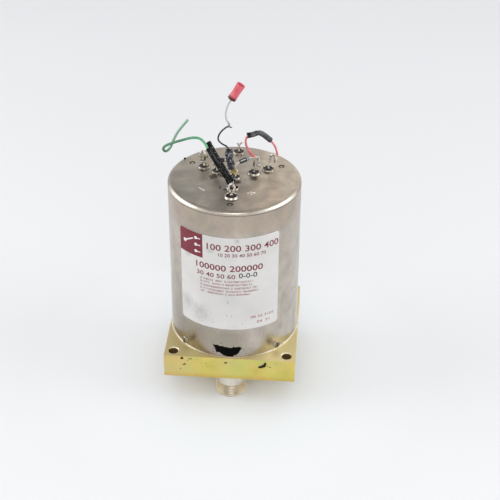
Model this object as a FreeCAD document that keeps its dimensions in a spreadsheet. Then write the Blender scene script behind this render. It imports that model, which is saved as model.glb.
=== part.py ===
import FreeCAD, Part
import math
import os
import re
import Sketcher

# A coaxial antenna switch: one common port and three selectable ones, all type N.
# Origin at the middle of the jacks' lower ends, +Z up through the terminals, label facing -Y.

Vector = FreeCAD.Vector
up = Vector(0, 0, 1)

# Driving dimensions, millimetres (angles in degrees).
sizes = {
    # base plate, its corner holes, and the boss that stands inside the can
    "plateSide": 66.04,
    "plateThickness": 12.7,
    "boltInset": 4.445,
    "boltHoleRadius": 2.4,
    "boltHoleChamfer": 0.4,
    "bossHeight": 6.0,
    # milled radio-frequency channel: a hub with three arms
    "channelWidth": 7.0,
    "channelDepth": 5.0,
    "hubRadius": 6.5,
    "armEndRadius": 4.5,
    # type N jacks, 5/8-24 thread
    "portInset": 10.9,
    "jackReach": 15.5,
    "jackRadius": 7.9375,
    "jackSeatRadius": 6.8,
    "jackReliefWidth": 0.5,
    "jackRecessRadius": 8.4,
    "jackRecessDepth": 0.3,
    "jackSeatDepth": 8.7,
    "jackLeadChamfer": 0.5,
    "threadStart": 0.9,
    "threadPitch": 1.0583,
    "threadDepth": 0.6,
    "threadFlat": 0.15,
    "socketRadius": 4.05,
    "mouthRadius": 5.4,
    "mouthDepth": 0.8,
    "beadRadius": 5.0,
    "beadBottom": 10.5,
    "contactRadius": 1.52,
    "contactTip": 5.0,
    "contactBoreRadius": 0.825,
    "contactBoreDepth": 5.0,
    "contactSlotWidth": 0.3,
    "contactSlotDepth": 4.0,
    "contactHeadThickness": 0.8,
    "commonHeadRadius": 4.4,
    "portHeadRadius": 2.2,
    # actuators: reed, pushrod, return spring
    "actuatorRadius": 12.4,
    "actuatorTravel": 1.2,
    "closingGap": 0.05,
    "reedWidth": 4.5,
    "reedThickness": 0.4,
    "reedInnerEnd": 2.7,
    "reedOverhang": 1.5,
    "reedCeilingGap": 0.1,
    "rodRadius": 1.0,
    "rodNeckRadius": 0.7,
    "rodButtonRadius": 1.5,
    "rodButtonThickness": 0.5,
    "collarRadius": 2.4,
    "collarThickness": 0.8,
    "rodTip": 1.0,
    "springLength": 4.5,
    "springRadius": 1.7,
    "springWireRadius": 0.2,
    "springPitch": 1.0,
    "springEndGap": 0.05,
    # cavity cover and its screws
    "coverThickness": 2.5,
    "coverScrewInset": 3.1,
    "coverScrewRadius": 1.2,
    "coverScrewHeadRadius": 2.2,
    "coverScrewHeadHeight": 1.4,
    "coverScrewDepth": 3.0,
    "screwSlotWidth": 0.6,
    "screwSlotDepth": 0.5,
    # deck and its supports
    "standoffHeight": 8.5,
    "standoffRadius": 2.5,
    "postInset": 7.7,
    "postRadius": 2.0,
    "studRadius": 1.2,
    "studLength": 2.0,
    "studProtrusion": 0.3,
    "deckInset": 3.7,
    "deckThickness": 2.0,
    "nutAcross": 5.0,
    "nutThickness": 1.8,
    # solenoids
    "caseRadius": 10.25,
    "caseWall": 1.2,
    "caseHeight": 30.0,
    "caseFloor": 2.5,
    "poleRadius": 4.0,
    "poleHeight": 8.0,
    "neckRadius": 3.5,
    "neckNutAcross": 10.0,
    "neckNutThickness": 1.5,
    "capThickness": 2.5,
    "plungerRadius": 4.4,
    "plungerRecess": 0.2,
    "pushPinRadius": 1.2,
    "tailRadius": 1.0,
    "bobbinWall": 0.8,
    "bobbinFlange": 1.0,
    "coilDepth": 3.0,
    # indicator board, blades and contacts
    "boardLift": 6.0,
    "boardInset": 4.7,
    "boardThickness": 1.6,
    "hingeDrop": 1.6,
    "bladeArm": 8.0,
    "bladeReach": 3.0,
    "bladeWidth": 3.0,
    "bladeThickness": 0.3,
    "eyeRadius": 0.9,
    "hingePinRadius": 0.4,
    "earThickness": 0.8,
    "earLength": 2.2,
    "bladeGap": 0.3,
    "contactStripThickness": 0.4,
    # can, its screws and its label
    "canInset": 0.52,
    "canHeight": 85.7,
    "canWall": 0.8,
    "canCorner": 2.0,
    "lipWidth": 0.4,
    "lipHeight": 0.5,
    "canScrewLevel": 2.95,
    "canScrewRadius": 1.1,
    "canScrewHeadRadius": 1.7,
    "canScrewHeadHeight": 0.9,
    "canScrewLength": 5.0,
    "dimpleInset": 7.1,
    "dimpleRadius": 1.3,
    "dimpleDepth": 0.15,
    "labelBottom": 18.0,
    "labelHeight": 53.5,
    "labelStart": -137.5,
    "labelSweep": 92.8,
    "labelThickness": 0.12,
    "labelCorner": 1.8,
    "labelGlue": 0.05,
    # solder terminals
    "backInset": 7.2,
    "outerRingShare": 0.7194,
    "innerRingShare": 0.4071,
    "eyeletRadius": 3.2,
    "eyeletRise": 0.9,
    "barrelRadius": 2.8,
    "barrelDepth": 2.0,
    "glassRadius": 2.45,
    "glassRise": 0.6,
    "pinRadius": 0.45,
    "pinTail": 3.0,
    "pinRise": 7.2,
    "backPinRise": 3.0,
    "pinBend": 1.0,
    "hookRadius": 0.9,
    "hookLeg": 1.9,
    "pinKnee": 1.5,
    "pinLean": 16.0,
    # sleeves, diodes and leads on the terminals
    "sleevedRise": 2.0,
    "sleevedReach": 4.0,
    "sleeveGap": 0.4,
    "sleeveBoreDepth": 4.5,
    "longSleeveTilt": 38.5,
    "longSleeveLength": 22.0,
    "shortLobeLength": 19.5,
    "lobeRadius": 1.3,
    "lobeOffset": 0.75,
    "centreSleeveTilt": 16.0,
    "centreSleeveLength": 11.6,
    "centreSleeveRadius": 1.8,
    "sleeveAzimuth": 150.0,
    "diodeRadius": 1.1,
    "diodeLength": 4.0,
    "leadRadius": 0.3,
    "leadBend": 0.4,
    "jumperRadius": 0.5,
    "jumperSleeveWall": 0.85,
    "harnessRadius": 0.5,
    "harnessStraight": 6.0,
    "harnessSlack": 2.0,
    "backLandInset": 6.0,
    # loose wires
    "greenWireRadius": 0.625,
    "greenWireShift": 0.55,
    "leadWireRadius": 0.4,
    "redSleeveRadius": 2.1,
    "redSleeveWall": 0.6,
    "redSleeveLength": 8.6,
    "redSleeveMouth": 2.5,
    # clearances
    "seatClearance": 0.02,
    "runningClearance": 0.05,
    "holeClearance": 0.1,
    "openClearance": 0.2,
}

# Places that follow from the driving dimensions.
places = {
    "boltSpacing": "plateSide - 2 * boltInset",
    "canRadius": "plateSide / 2 - canInset",
    "portRadius": "canRadius - portInset",
    "plateTop": "jackReach + plateThickness",
    "bossTop": "plateTop + bossHeight",
    "channelFloor": "bossTop - channelDepth",
    "canInner": "canRadius - canWall",
    "bossRadius": "canInner - holeClearance",
    "coverScrewCircle": "bossRadius - coverScrewInset",
    "postCircle": "canInner - postInset",
    "deckRadius": "canInner - deckInset",
    "boardRadius": "canInner - boardInset",
    "jackSeatTop": "jackReach + jackSeatDepth",
    "reedTop": "bossTop - reedCeilingGap",
    "reedBottom": "reedTop - reedThickness",
    "contactTop": "reedBottom - actuatorTravel - closingGap",
    "coverTop": "bossTop + coverThickness",
    "collarBottom": "coverTop + springLength",
    "collarTop": "collarBottom + collarThickness",
    "rodTop": "collarTop + rodTip",
    "deckBottom": "coverTop + standoffHeight",
    "deckTop": "deckBottom + deckThickness",
    "neckBottom": "deckBottom - neckNutThickness - studProtrusion",
    "caseTop": "deckTop + caseHeight",
    "caseInner": "caseRadius - caseWall",
    "coilRoomBottom": "deckTop + caseFloor",
    "coilRoomTop": "caseTop - capThickness",
    "poleTop": "coilRoomBottom + poleHeight",
    "bobbinBore": "plungerRadius + runningClearance",
    "bobbinBarrel": "bobbinBore + bobbinWall",
    "plungerBottom": "poleTop + actuatorTravel + holeClearance",
    "plungerTop": "caseTop - plungerRecess",
    "boardBottom": "caseTop + boardLift",
    "boardTop": "boardBottom + boardThickness",
    "eyeCentre": "boardBottom - hingeDrop",
    "bladeBottom": "eyeCentre - bladeThickness / 2",
    "bladeTop": "eyeCentre + bladeThickness / 2",
    "tailTop": "bladeBottom - bladeGap",
    "hingeRadius": "actuatorRadius + bladeArm",
    "bladeTip": "actuatorRadius - bladeReach",
    "tipDrop": "actuatorTravel * (bladeArm + bladeReach) / bladeArm",
    "footTop": "bladeBottom - tipDrop - holeClearance",
    "canTop": "plateTop + canHeight",
    "canCeiling": "canTop - canWall",
    "glassBottom": "canTop - barrelDepth",
    "pinBottom": "canTop - pinTail",
    "dimpleCircle": "canRadius - dimpleInset",
    "backRing": "canRadius - backInset",
    "outerRing": "outerRingShare * backRing",
    "innerRing": "innerRingShare * backRing",
}

# Azimuths of ports 1, 2 and 3, seen from above, and of the supports between them.
portAzimuths = {"1": -90, "2": 150, "3": 30}
supportAzimuths = (-30, 90, 210)
canScrewAzimuths = (45, 135, 225, 315)
coverScrewAzimuths = (0, 60, 120, 180, 240, 300)
screwTurn = 35

document = FreeCAD.newDocument("CoaxialSwitch")
sheet = document.addObject("Spreadsheet::Sheet", "Dims")
for row, (alias, size) in enumerate(sizes.items(), start=1):
    sheet.set(f"A{row}", alias)
    sheet.set(f"B{row}", str(size))
    sheet.setAlias(f"B{row}", alias)
document.recompute()

nodes = {}


# ---- formulas and values ----

def bound(text):
    # A formula in plain names, written out so that it points at the sheet's cells.
    def cell(match):
        word = match.group(0)
        if word in places:
            return f"({bound(places[word])})"
        return f"Dims.{word}" if word in sizes else word
    return re.sub(r"[A-Za-z]\w*", cell, str(text))


def value(text):
    return float(sheet.evalExpression(bound(text)))


def polar(radius, azimuth):
    return f"({radius}) * cos({azimuth})", f"({radius}) * sin({azimuth})"


def point(radius, azimuth, height):
    angle = math.radians(azimuth)
    return Vector(radius * math.cos(angle), radius * math.sin(angle), height)


# ---- building blocks ----

def keep(label, piece):
    piece.Label = label
    nodes[label] = piece
    return piece


def originPart(body, role):
    return next(part for part in body.Origin.OriginFeatures if part.Role == role)


def place(piece, at, rotation=None):
    piece.Placement = FreeCAD.Placement(Vector(), rotation or FreeCAD.Rotation())
    for name, formula in zip("xyz", at):
        piece.setExpression(f"Placement.Base.{name}", bound(formula))


def newBody(label, at=None, turn=0):
    body = document.addObject("PartDesign::Body", label)
    body.Placement = FreeCAD.Placement(Vector(), FreeCAD.Rotation(up, turn))
    if at:
        place(body, at)
    return body


def newSketch(body, role, lift="0"):
    sketch = body.newObject("Sketcher::SketchObject", "Sketch")
    sketch.AttachmentSupport = (originPart(body, role), [""])
    sketch.MapMode = "FlatFace"
    sketch.setExpression("AttachmentOffset.Base.z", bound(lift))
    return sketch


def bindDatum(sketch, kind, elements, formula):
    name = f"d{sketch.ConstraintCount}"
    index = sketch.addConstraint(Sketcher.Constraint(kind, *elements, value(formula)))
    sketch.renameConstraint(index, name)
    sketch.setExpression(f"Constraints.{name}", bound(formula))


def addOutline(sketch, corners):
    # A closed run of straight lines, each corner held by its two coordinates.
    spots = [Vector(value(across), value(along), 0) for across, along in corners]
    first = sketch.GeometryCount
    count = len(spots)
    for index, spot in enumerate(spots):
        sketch.addGeometry(Part.LineSegment(spot, spots[(index + 1) % count]), False)
    for index in range(count):
        following = first + (index + 1) % count
        sketch.addConstraint(Sketcher.Constraint("Coincident", first + index, 2, following, 1))
    for index, (across, along) in enumerate(corners):
        bindDatum(sketch, "DistanceX", (-1, 1, first + index, 1), across)
        bindDatum(sketch, "DistanceY", (-1, 1, first + index, 1), along)


def addCircle(sketch, across, along, radius):
    index = sketch.GeometryCount
    centre = Vector(value(across), value(along), 0)
    sketch.addGeometry(Part.Circle(centre, up, value(radius)), False)
    bindDatum(sketch, "DistanceX", (-1, 1, index, 3), across)
    bindDatum(sketch, "DistanceY", (-1, 1, index, 3), along)
    bindDatum(sketch, "Radius", (index,), radius)


def revolve(body, corners, sweep="360"):
    sketch = newSketch(body, "XZ_Plane")
    addOutline(sketch, corners)
    feature = body.newObject("PartDesign::Revolution", "Revolution")
    feature.Profile = sketch
    feature.ReferenceAxis = (sketch, ["V_Axis"])
    feature.setExpression("Angle", bound(sweep))
    document.recompute()
    return feature


def extrude(body, kind, sketch, length, reverse=False, middle=False):
    feature = body.newObject(f"PartDesign::{kind}", kind)
    feature.Profile = sketch
    feature.setExpression("Length", bound(length))
    feature.Reversed = reverse
    feature.Midplane = middle
    document.recompute()
    return feature


def repeat(body, features, count):
    pattern = body.newObject("PartDesign::PolarPattern", "PolarPattern")
    pattern.Originals = features
    pattern.Axis = (originPart(body, "Z_Axis"), [""])
    pattern.Angle = 360
    pattern.Occurrences = count
    body.Tip = pattern
    document.recompute()
    return pattern


def circularEdges(feature, radius):
    wanted = value(radius)
    names = []
    for index, edge in enumerate(feature.Shape.Edges, start=1):
        if hasattr(edge.Curve, "Radius") and abs(edge.Curve.Radius - wanted) < 1e-4:
            names.append(f"Edge{index}")
    return names


def dress(body, kind, base, edges, size):
    feature = body.newObject(f"PartDesign::{kind}", kind)
    feature.Base = (base, edges)
    feature.setExpression("Radius" if kind == "Fillet" else "Size", bound(size))
    document.recompute()
    return feature


def turned(label, corners, at=None):
    body = newBody(label, at)
    revolve(body, corners)
    return body


def together(label, pieces):
    group = document.addObject("Part::MultiFuse", label)
    group.Shapes = pieces
    return keep(label, group)


def hexNut(label, at, across, bore, thickness):
    body = newBody(label, at)
    sketch = newSketch(body, "XY_Plane")
    corner = f"({across}) / 2 / cos(30)"
    addOutline(sketch, [polar(corner, 60 * side) for side in range(6)])
    addCircle(sketch, "0", "0", bore)
    extrude(body, "Pad", sketch, thickness)
    return body


def slottedScrew(label, headRadius, headHeight, shankRadius, shankLength):
    # Head above local zero, shank below it.
    body = turned(label, [
        ("0", f"-({shankLength})"),
        (shankRadius, f"-({shankLength})"),
        (shankRadius, "0"),
        (headRadius, "0"),
        (headRadius, headHeight),
        ("0", headHeight),
    ])
    slot = newSketch(body, "XY_Plane", headHeight)
    reach = f"({headRadius}) + holeClearance"
    half = "screwSlotWidth / 2"
    addOutline(slot, [
        (f"-({reach})", f"-{half}"), (reach, f"-{half}"), (reach, half), (f"-({reach})", half),
    ])
    extrude(body, "Pocket", slot, "screwSlotDepth")
    return body


# ---- bent wires: straight runs joined by tangent arcs ----

def roundedPath(corners, bend=None):
    # Without a bend radius of its own, each arc takes 0.45 of the shorter of its two runs.
    edges = []
    radii = []
    start = corners[0]
    for before, corner, after in zip(corners, corners[1:], corners[2:]):
        arriving = corner - before
        leaving = after - corner
        halfTurn = arriving.getAngle(leaving) / 2
        shorter = min(arriving.Length, leaving.Length)
        radius = bend if bend else 0.45 * shorter / math.tan(halfTurn)
        setback = radius * math.tan(halfTurn)
        arriving.normalize()
        leaving.normalize()
        inward = (leaving - arriving).normalize()
        arcStart = corner - arriving * setback
        arcEnd = corner + leaving * setback
        arcMiddle = corner + inward * (radius / math.cos(halfTurn) - radius)
        if start.distanceToPoint(arcStart) > 1e-6:
            edges.append(Part.LineSegment(start, arcStart).toShape())
        edges.append(Part.Arc(arcStart, arcMiddle, arcEnd).toShape())
        radii.append(radius)
        start = arcEnd
    edges.append(Part.LineSegment(start, corners[-1]).toShape())
    return edges, radii


def tube(edges, radius):
    path = Part.Wire(edges)
    start = edges[0].valueAt(edges[0].FirstParameter)
    direction = edges[0].tangentAt(edges[0].FirstParameter)
    section = Part.Wire(Part.makeCircle(radius, start, direction))
    solid = path.makePipeShell([section], True, False)
    expected = math.pi * radius ** 2 * path.Length
    assert abs(solid.Volume / expected - 1) < 0.005, "a bent wire lost volume"
    return solid


def bentWire(corners, radius, bend=None):
    edges, _ = roundedPath(corners, bend)
    return tube(edges, radius)


def shaped(label, shape):
    piece = document.addObject("Part::Feature", label)
    piece.Shape = shape
    return keep(label, piece)


# ---- base block ----

def squareCorners(side):
    half = f"({side}) / 2"
    return [(f"-{half}", f"-{half}"), (half, f"-{half}"), (half, half), (f"-{half}", half)]


def baseBlock():
    body = newBody("base_block")
    plate = newSketch(body, "XY_Plane", "jackReach")
    addOutline(plate, squareCorners("plateSide"))
    extrude(body, "Pad", plate, "plateThickness")
    boss = newSketch(body, "XY_Plane", "plateTop")
    addCircle(boss, "0", "0", "bossRadius")
    extrude(body, "Pad", boss, "bossHeight")

    bolts = newSketch(body, "XY_Plane", "jackReach")
    for across, along in squareCorners("boltSpacing"):
        addCircle(bolts, across, along, "boltHoleRadius")
    drilled = extrude(body, "Pocket", bolts, "plateThickness", reverse=True)
    dress(body, "Chamfer", drilled, circularEdges(drilled, "boltHoleRadius"), "boltHoleChamfer")

    arm = newSketch(body, "XY_Plane", "bossTop")
    half = "channelWidth / 2"
    addOutline(arm, [
        (f"-{half}", "-portRadius"), (half, "-portRadius"), (half, "0"), (f"-{half}", "0"),
    ])
    repeat(body, [extrude(body, "Pocket", arm, "channelDepth")], len(portAzimuths))
    rounds = newSketch(body, "XY_Plane", "bossTop")
    addCircle(rounds, "0", "0", "hubRadius")
    for azimuth in portAzimuths.values():
        addCircle(rounds, *polar("portRadius", azimuth), "armEndRadius")
    extrude(body, "Pocket", rounds, "channelDepth")

    # Each jack sits in a stepped bore from below: its shoulder in a shallow recess, its shell
    # in the wide part, its bead above.
    for radius, depth in (
        ("jackRecessRadius", "jackRecessDepth"),
        ("jackSeatRadius + seatClearance", "jackSeatDepth"),
        ("beadRadius + seatClearance", "channelFloor - jackReach"),
    ):
        bores = newSketch(body, "XY_Plane", "jackReach")
        addCircle(bores, "0", "0", radius)
        for azimuth in portAzimuths.values():
            addCircle(bores, *polar("portRadius", azimuth), radius)
        extrude(body, "Pocket", bores, depth, reverse=True)

    # Tapped holes: cover screws and standoff studs in the top, can screws in the side.
    tapped = newSketch(body, "XY_Plane", "bossTop")
    for azimuth in coverScrewAzimuths:
        addCircle(tapped, *polar("coverScrewCircle", azimuth), "coverScrewRadius + seatClearance")
    extrude(body, "Pocket", tapped, "coverScrewDepth + holeClearance")
    sideHoles(body, "canInner - canScrewLength", "canScrewLength", "canScrewRadius + seatClearance")
    return keep("base_block", body)


def sideHoles(body, start, length, radius):
    # Four radial holes at the can screws' level.
    azimuth = canScrewAzimuths[0]
    hole = body.newObject("PartDesign::SubtractiveCylinder", "ScrewHole")
    hole.AttachmentSupport = (originPart(body, "XY_Plane"), [""])
    hole.MapMode = "FlatFace"
    outward = point(1, azimuth, 0)
    hole.AttachmentOffset = FreeCAD.Placement(Vector(), FreeCAD.Rotation(up, outward))
    across, along = polar(start, azimuth)
    for name, formula in (("x", across), ("y", along), ("z", "plateTop + canScrewLevel")):
        hole.setExpression(f"AttachmentOffset.Base.{name}", bound(formula))
    hole.setExpression("Radius", bound(radius))
    hole.setExpression("Height", bound(length))
    document.recompute()
    repeat(body, [hole], len(canScrewAzimuths))


# ---- jacks ----

threadTurns = 6


def jack(name, at, headRadius):
    grooves = []
    for turn in range(threadTurns):
        start = f"threadStart + {turn} * threadPitch"
        root = "jackRadius - threadDepth"
        flank = "(threadPitch - 2 * threadFlat) / 2"
        grooves += [
            ("jackRadius", start),
            (root, f"{start} + {flank}"),
            (root, f"{start} + {flank} + threadFlat"),
            ("jackRadius", f"{start} + threadPitch - threadFlat"),
        ]
    shell = turned(f"jack_shell_{name}", [
        ("mouthRadius", "0"),
        ("jackRadius - jackLeadChamfer", "0"),
        ("jackRadius", "jackLeadChamfer"),
        *grooves,
        ("jackRadius", "jackReach - jackReliefWidth"),
        ("jackRadius - threadDepth", "jackReach - jackReliefWidth"),
        ("jackRadius - threadDepth", "jackReach + jackRecessDepth"),
        ("jackSeatRadius", "jackReach + jackRecessDepth"),
        ("jackSeatRadius", "jackSeatTop"),
        ("beadRadius + seatClearance", "jackSeatTop"),
        ("beadRadius + seatClearance", "beadBottom"),
        ("socketRadius", "beadBottom"),
        ("socketRadius", "mouthDepth"),
    ], at)
    keep(f"jack_shell_{name}", shell)

    bead = turned(f"jack_bead_{name}", [
        ("contactRadius + seatClearance", "beadBottom"),
        ("beadRadius", "beadBottom"),
        ("beadRadius", "channelFloor"),
        ("contactRadius + seatClearance", "channelFloor"),
    ], at)
    keep(f"jack_bead_{name}", bead)

    contact = turned(f"jack_contact_{name}", [
        ("contactBoreRadius", "contactTip"),
        ("contactRadius", "contactTip"),
        ("contactRadius", "contactTop - contactHeadThickness"),
        (headRadius, "contactTop - contactHeadThickness"),
        (headRadius, "contactTop"),
        ("0", "contactTop"),
        ("0", "contactTip + contactBoreDepth"),
        ("contactBoreRadius", "contactTip + contactBoreDepth"),
    ], at)
    slot = newSketch(contact, "XY_Plane", "contactTip")
    half = "contactSlotWidth / 2"
    reach = "contactRadius + holeClearance"
    addOutline(slot, [
        (f"-({reach})", f"-{half}"), (reach, f"-{half}"), (reach, half), (f"-({reach})", half),
    ])
    cut = extrude(contact, "Pocket", slot, "contactSlotDepth", reverse=True)
    repeat(contact, [cut], 4)
    keep(f"jack_contact_{name}", contact)


# ---- cavity cover ----

def cavityCover():
    body = newBody("cavity_cover")
    disc = newSketch(body, "XY_Plane", "bossTop")
    addCircle(disc, "0", "0", "bossRadius - holeClearance")
    for azimuth in portAzimuths.values():
        addCircle(disc, *polar("actuatorRadius", azimuth), "rodRadius + runningClearance")
    for azimuth in coverScrewAzimuths:
        addCircle(disc, *polar("coverScrewCircle", azimuth), "coverScrewRadius + holeClearance")
    for azimuth in supportAzimuths:
        addCircle(disc, *polar("postCircle", azimuth), "studRadius + seatClearance")
    extrude(body, "Pad", disc, "coverThickness")
    keep("cavity_cover", body)

    screws = []
    for azimuth in coverScrewAzimuths:
        screw = slottedScrew(
            "cover_screw", "coverScrewHeadRadius", "coverScrewHeadHeight",
            "coverScrewRadius", "coverThickness + coverScrewDepth",
        )
        spot = (*polar("coverScrewCircle", azimuth), "coverTop")
        place(screw, spot, FreeCAD.Rotation(up, azimuth + screwTurn))
        screws.append(screw)
    together("cover_screws", screws)


# ---- actuators ----

def actuator(name, azimuth):
    axis = (*polar("actuatorRadius", azimuth), "0")

    reed = newBody(f"reed_{name}", turn=azimuth)
    strip = newSketch(reed, "XY_Plane", "reedBottom")
    outer = "portRadius + reedOverhang"
    half = "reedWidth / 2"
    addOutline(strip, [
        ("reedInnerEnd", f"-{half}"), (outer, f"-{half}"), (outer, half), ("reedInnerEnd", half),
    ])
    addCircle(strip, "actuatorRadius", "0", "rodNeckRadius + seatClearance")
    extrude(reed, "Pad", strip, "reedThickness")
    keep(f"reed_{name}", reed)

    rod = turned(f"pushrod_{name}", [
        ("0", "reedBottom - rodButtonThickness"),
        ("rodButtonRadius", "reedBottom - rodButtonThickness"),
        ("rodButtonRadius", "reedBottom"),
        ("rodNeckRadius", "reedBottom"),
        ("rodNeckRadius", "reedTop"),
        ("rodRadius", "reedTop"),
        ("rodRadius", "collarBottom"),
        ("collarRadius", "collarBottom"),
        ("collarRadius", "collarTop"),
        ("rodRadius", "collarTop"),
        ("rodRadius", "rodTop"),
        ("0", "rodTop"),
    ], axis)
    keep(f"pushrod_{name}", rod)

    spring = newBody(f"return_spring_{name}", axis)
    section = newSketch(spring, "XZ_Plane")
    addCircle(section, "springRadius", "coverTop + springEndGap + springWireRadius", "springWireRadius")
    coil = spring.newObject("PartDesign::AdditiveHelix", "Helix")
    coil.Profile = section
    coil.ReferenceAxis = (section, ["V_Axis"])
    coil.Mode = "pitch-height-angle"
    coil.setExpression("Pitch", bound("springPitch"))
    coil.setExpression("Height", bound("springLength - 2 * springEndGap - 2 * springWireRadius"))
    document.recompute()
    keep(f"return_spring_{name}", spring)

    plunger = turned(f"plunger_{name}", [
        ("0", "rodTop"),
        ("pushPinRadius", "rodTop"),
        ("pushPinRadius", "plungerBottom"),
        ("plungerRadius", "plungerBottom"),
        ("plungerRadius", "plungerTop"),
        ("tailRadius", "plungerTop"),
        ("tailRadius", "tailTop"),
        ("0", "tailTop"),
    ], axis)
    keep(f"plunger_{name}", plunger)


# ---- deck and solenoids ----

def deck():
    body = newBody("solenoid_deck")
    disc = newSketch(body, "XY_Plane", "deckBottom")
    addCircle(disc, "0", "0", "deckRadius")
    for azimuth in portAzimuths.values():
        addCircle(disc, *polar("actuatorRadius", azimuth), "neckRadius + runningClearance")
    for azimuth in supportAzimuths:
        addCircle(disc, *polar("postCircle", azimuth), "studRadius + runningClearance")
    extrude(body, "Pad", disc, "deckThickness")
    keep("solenoid_deck", body)

    standoffs = []
    posts = []
    nuts = []
    for azimuth in supportAzimuths:
        foot = (*polar("postCircle", azimuth), "0")
        # Short standoff, with a stud into the cover and a tapped hole in its top.
        standoffs.append(turned("deck_standoff", [
            ("0", "coverTop - studLength"),
            ("studRadius", "coverTop - studLength"),
            ("studRadius", "coverTop"),
            ("standoffRadius", "coverTop"),
            ("standoffRadius", "deckBottom"),
            ("studRadius + seatClearance", "deckBottom"),
            ("studRadius + seatClearance", "deckBottom - studLength - holeClearance"),
            ("0", "deckBottom - studLength - holeClearance"),
        ], foot))
        # Long post, clamping the deck and carrying the indicator board.
        posts.append(turned("board_post", [
            ("0", "deckBottom - studLength"),
            ("studRadius", "deckBottom - studLength"),
            ("studRadius", "deckTop"),
            ("postRadius", "deckTop"),
            ("postRadius", "boardBottom"),
            ("studRadius", "boardBottom"),
            ("studRadius", "boardTop + nutThickness + studProtrusion"),
            ("0", "boardTop + nutThickness + studProtrusion"),
        ], foot))
        nutFoot = (*polar("postCircle", azimuth), "boardTop")
        nuts.append(hexNut("board_nut", nutFoot, "nutAcross", "studRadius + seatClearance", "nutThickness"))
    together("deck_standoffs", standoffs)
    together("board_posts", posts)
    together("board_nuts", nuts)


def solenoids():
    cases = []
    bobbins = []
    coils = []
    caps = []
    nuts = []
    for azimuth in portAzimuths.values():
        axis = (*polar("actuatorRadius", azimuth), "0")
        bore = "pushPinRadius + openClearance"
        cases.append(turned("solenoid_case", [
            (bore, "neckBottom"),
            ("neckRadius", "neckBottom"),
            ("neckRadius", "deckTop"),
            ("caseRadius", "deckTop"),
            ("caseRadius", "caseTop"),
            ("caseInner", "caseTop"),
            ("caseInner", "coilRoomBottom"),
            ("poleRadius", "coilRoomBottom"),
            ("poleRadius", "poleTop"),
            (bore, "poleTop"),
        ], axis))
        flange = "caseInner - holeClearance"
        bobbins.append(turned("solenoid_bobbin", [
            ("bobbinBore", "coilRoomBottom"),
            (flange, "coilRoomBottom"),
            (flange, "coilRoomBottom + bobbinFlange"),
            ("bobbinBarrel", "coilRoomBottom + bobbinFlange"),
            ("bobbinBarrel", "coilRoomTop - bobbinFlange"),
            (flange, "coilRoomTop - bobbinFlange"),
            (flange, "coilRoomTop"),
            ("bobbinBore", "coilRoomTop"),
        ], axis))
        coilInner = "bobbinBarrel + seatClearance"
        coils.append(turned("solenoid_coil", [
            (coilInner, "coilRoomBottom + bobbinFlange"),
            ("bobbinBarrel + coilDepth", "coilRoomBottom + bobbinFlange"),
            ("bobbinBarrel + coilDepth", "coilRoomTop - bobbinFlange"),
            (coilInner, "coilRoomTop - bobbinFlange"),
        ], axis))
        caps.append(turned("solenoid_end_cap", [
            ("plungerRadius + holeClearance", "coilRoomTop"),
            ("caseInner - seatClearance", "coilRoomTop"),
            ("caseInner - seatClearance", "caseTop"),
            ("plungerRadius + holeClearance", "caseTop"),
        ], axis))
        nutPlace = (*polar("actuatorRadius", azimuth), "deckBottom - neckNutThickness")
        nutBore = "neckRadius + seatClearance"
        nuts.append(hexNut("solenoid_nut", nutPlace, "neckNutAcross", nutBore, "neckNutThickness"))
    together("solenoid_cases", cases)
    together("solenoid_bobbins", bobbins)
    together("solenoid_coils", coils)
    together("solenoid_end_caps", caps)
    together("solenoid_nuts", nuts)


# ---- indicator switches ----

def indicatorBoard():
    body = newBody("indicator_board")
    disc = newSketch(body, "XY_Plane", "boardBottom")
    addCircle(disc, "0", "0", "boardRadius")
    for azimuth in supportAzimuths:
        addCircle(disc, *polar("postCircle", azimuth), "studRadius + runningClearance")
    extrude(body, "Pad", disc, "boardThickness")
    keep("indicator_board", body)

    brackets = []
    contacts = []
    for name, azimuth in portAzimuths.items():
        indicatorBlade(name, azimuth)
        brackets.append(bladeBracket(azimuth))
        contacts += indicatorContacts(azimuth)
    together("blade_brackets", brackets)
    together("indicator_contacts", contacts)


def indicatorBlade(name, azimuth):
    # A strip with an eye at its outer end, hanging on the bracket's pin over the plunger's tail.
    blade = newBody(f"indicator_blade_{name}", turn=azimuth)
    strip = newSketch(blade, "XZ_Plane")
    addOutline(strip, [
        ("bladeTip", "bladeBottom"),
        ("hingeRadius - hingePinRadius - runningClearance", "bladeBottom"),
        ("hingeRadius - hingePinRadius - runningClearance", "bladeTop"),
        ("bladeTip", "bladeTop"),
    ])
    extrude(blade, "Pad", strip, "bladeWidth", middle=True)
    eye = newSketch(blade, "XZ_Plane")
    addCircle(eye, "hingeRadius", "eyeCentre", "eyeRadius")
    extrude(blade, "Pad", eye, "bladeWidth", middle=True)
    hole = newSketch(blade, "XZ_Plane")
    addCircle(hole, "hingeRadius", "eyeCentre", "hingePinRadius + runningClearance")
    extrude(blade, "Pocket", hole, "bladeWidth", middle=True)
    keep(f"indicator_blade_{name}", blade)


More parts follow.
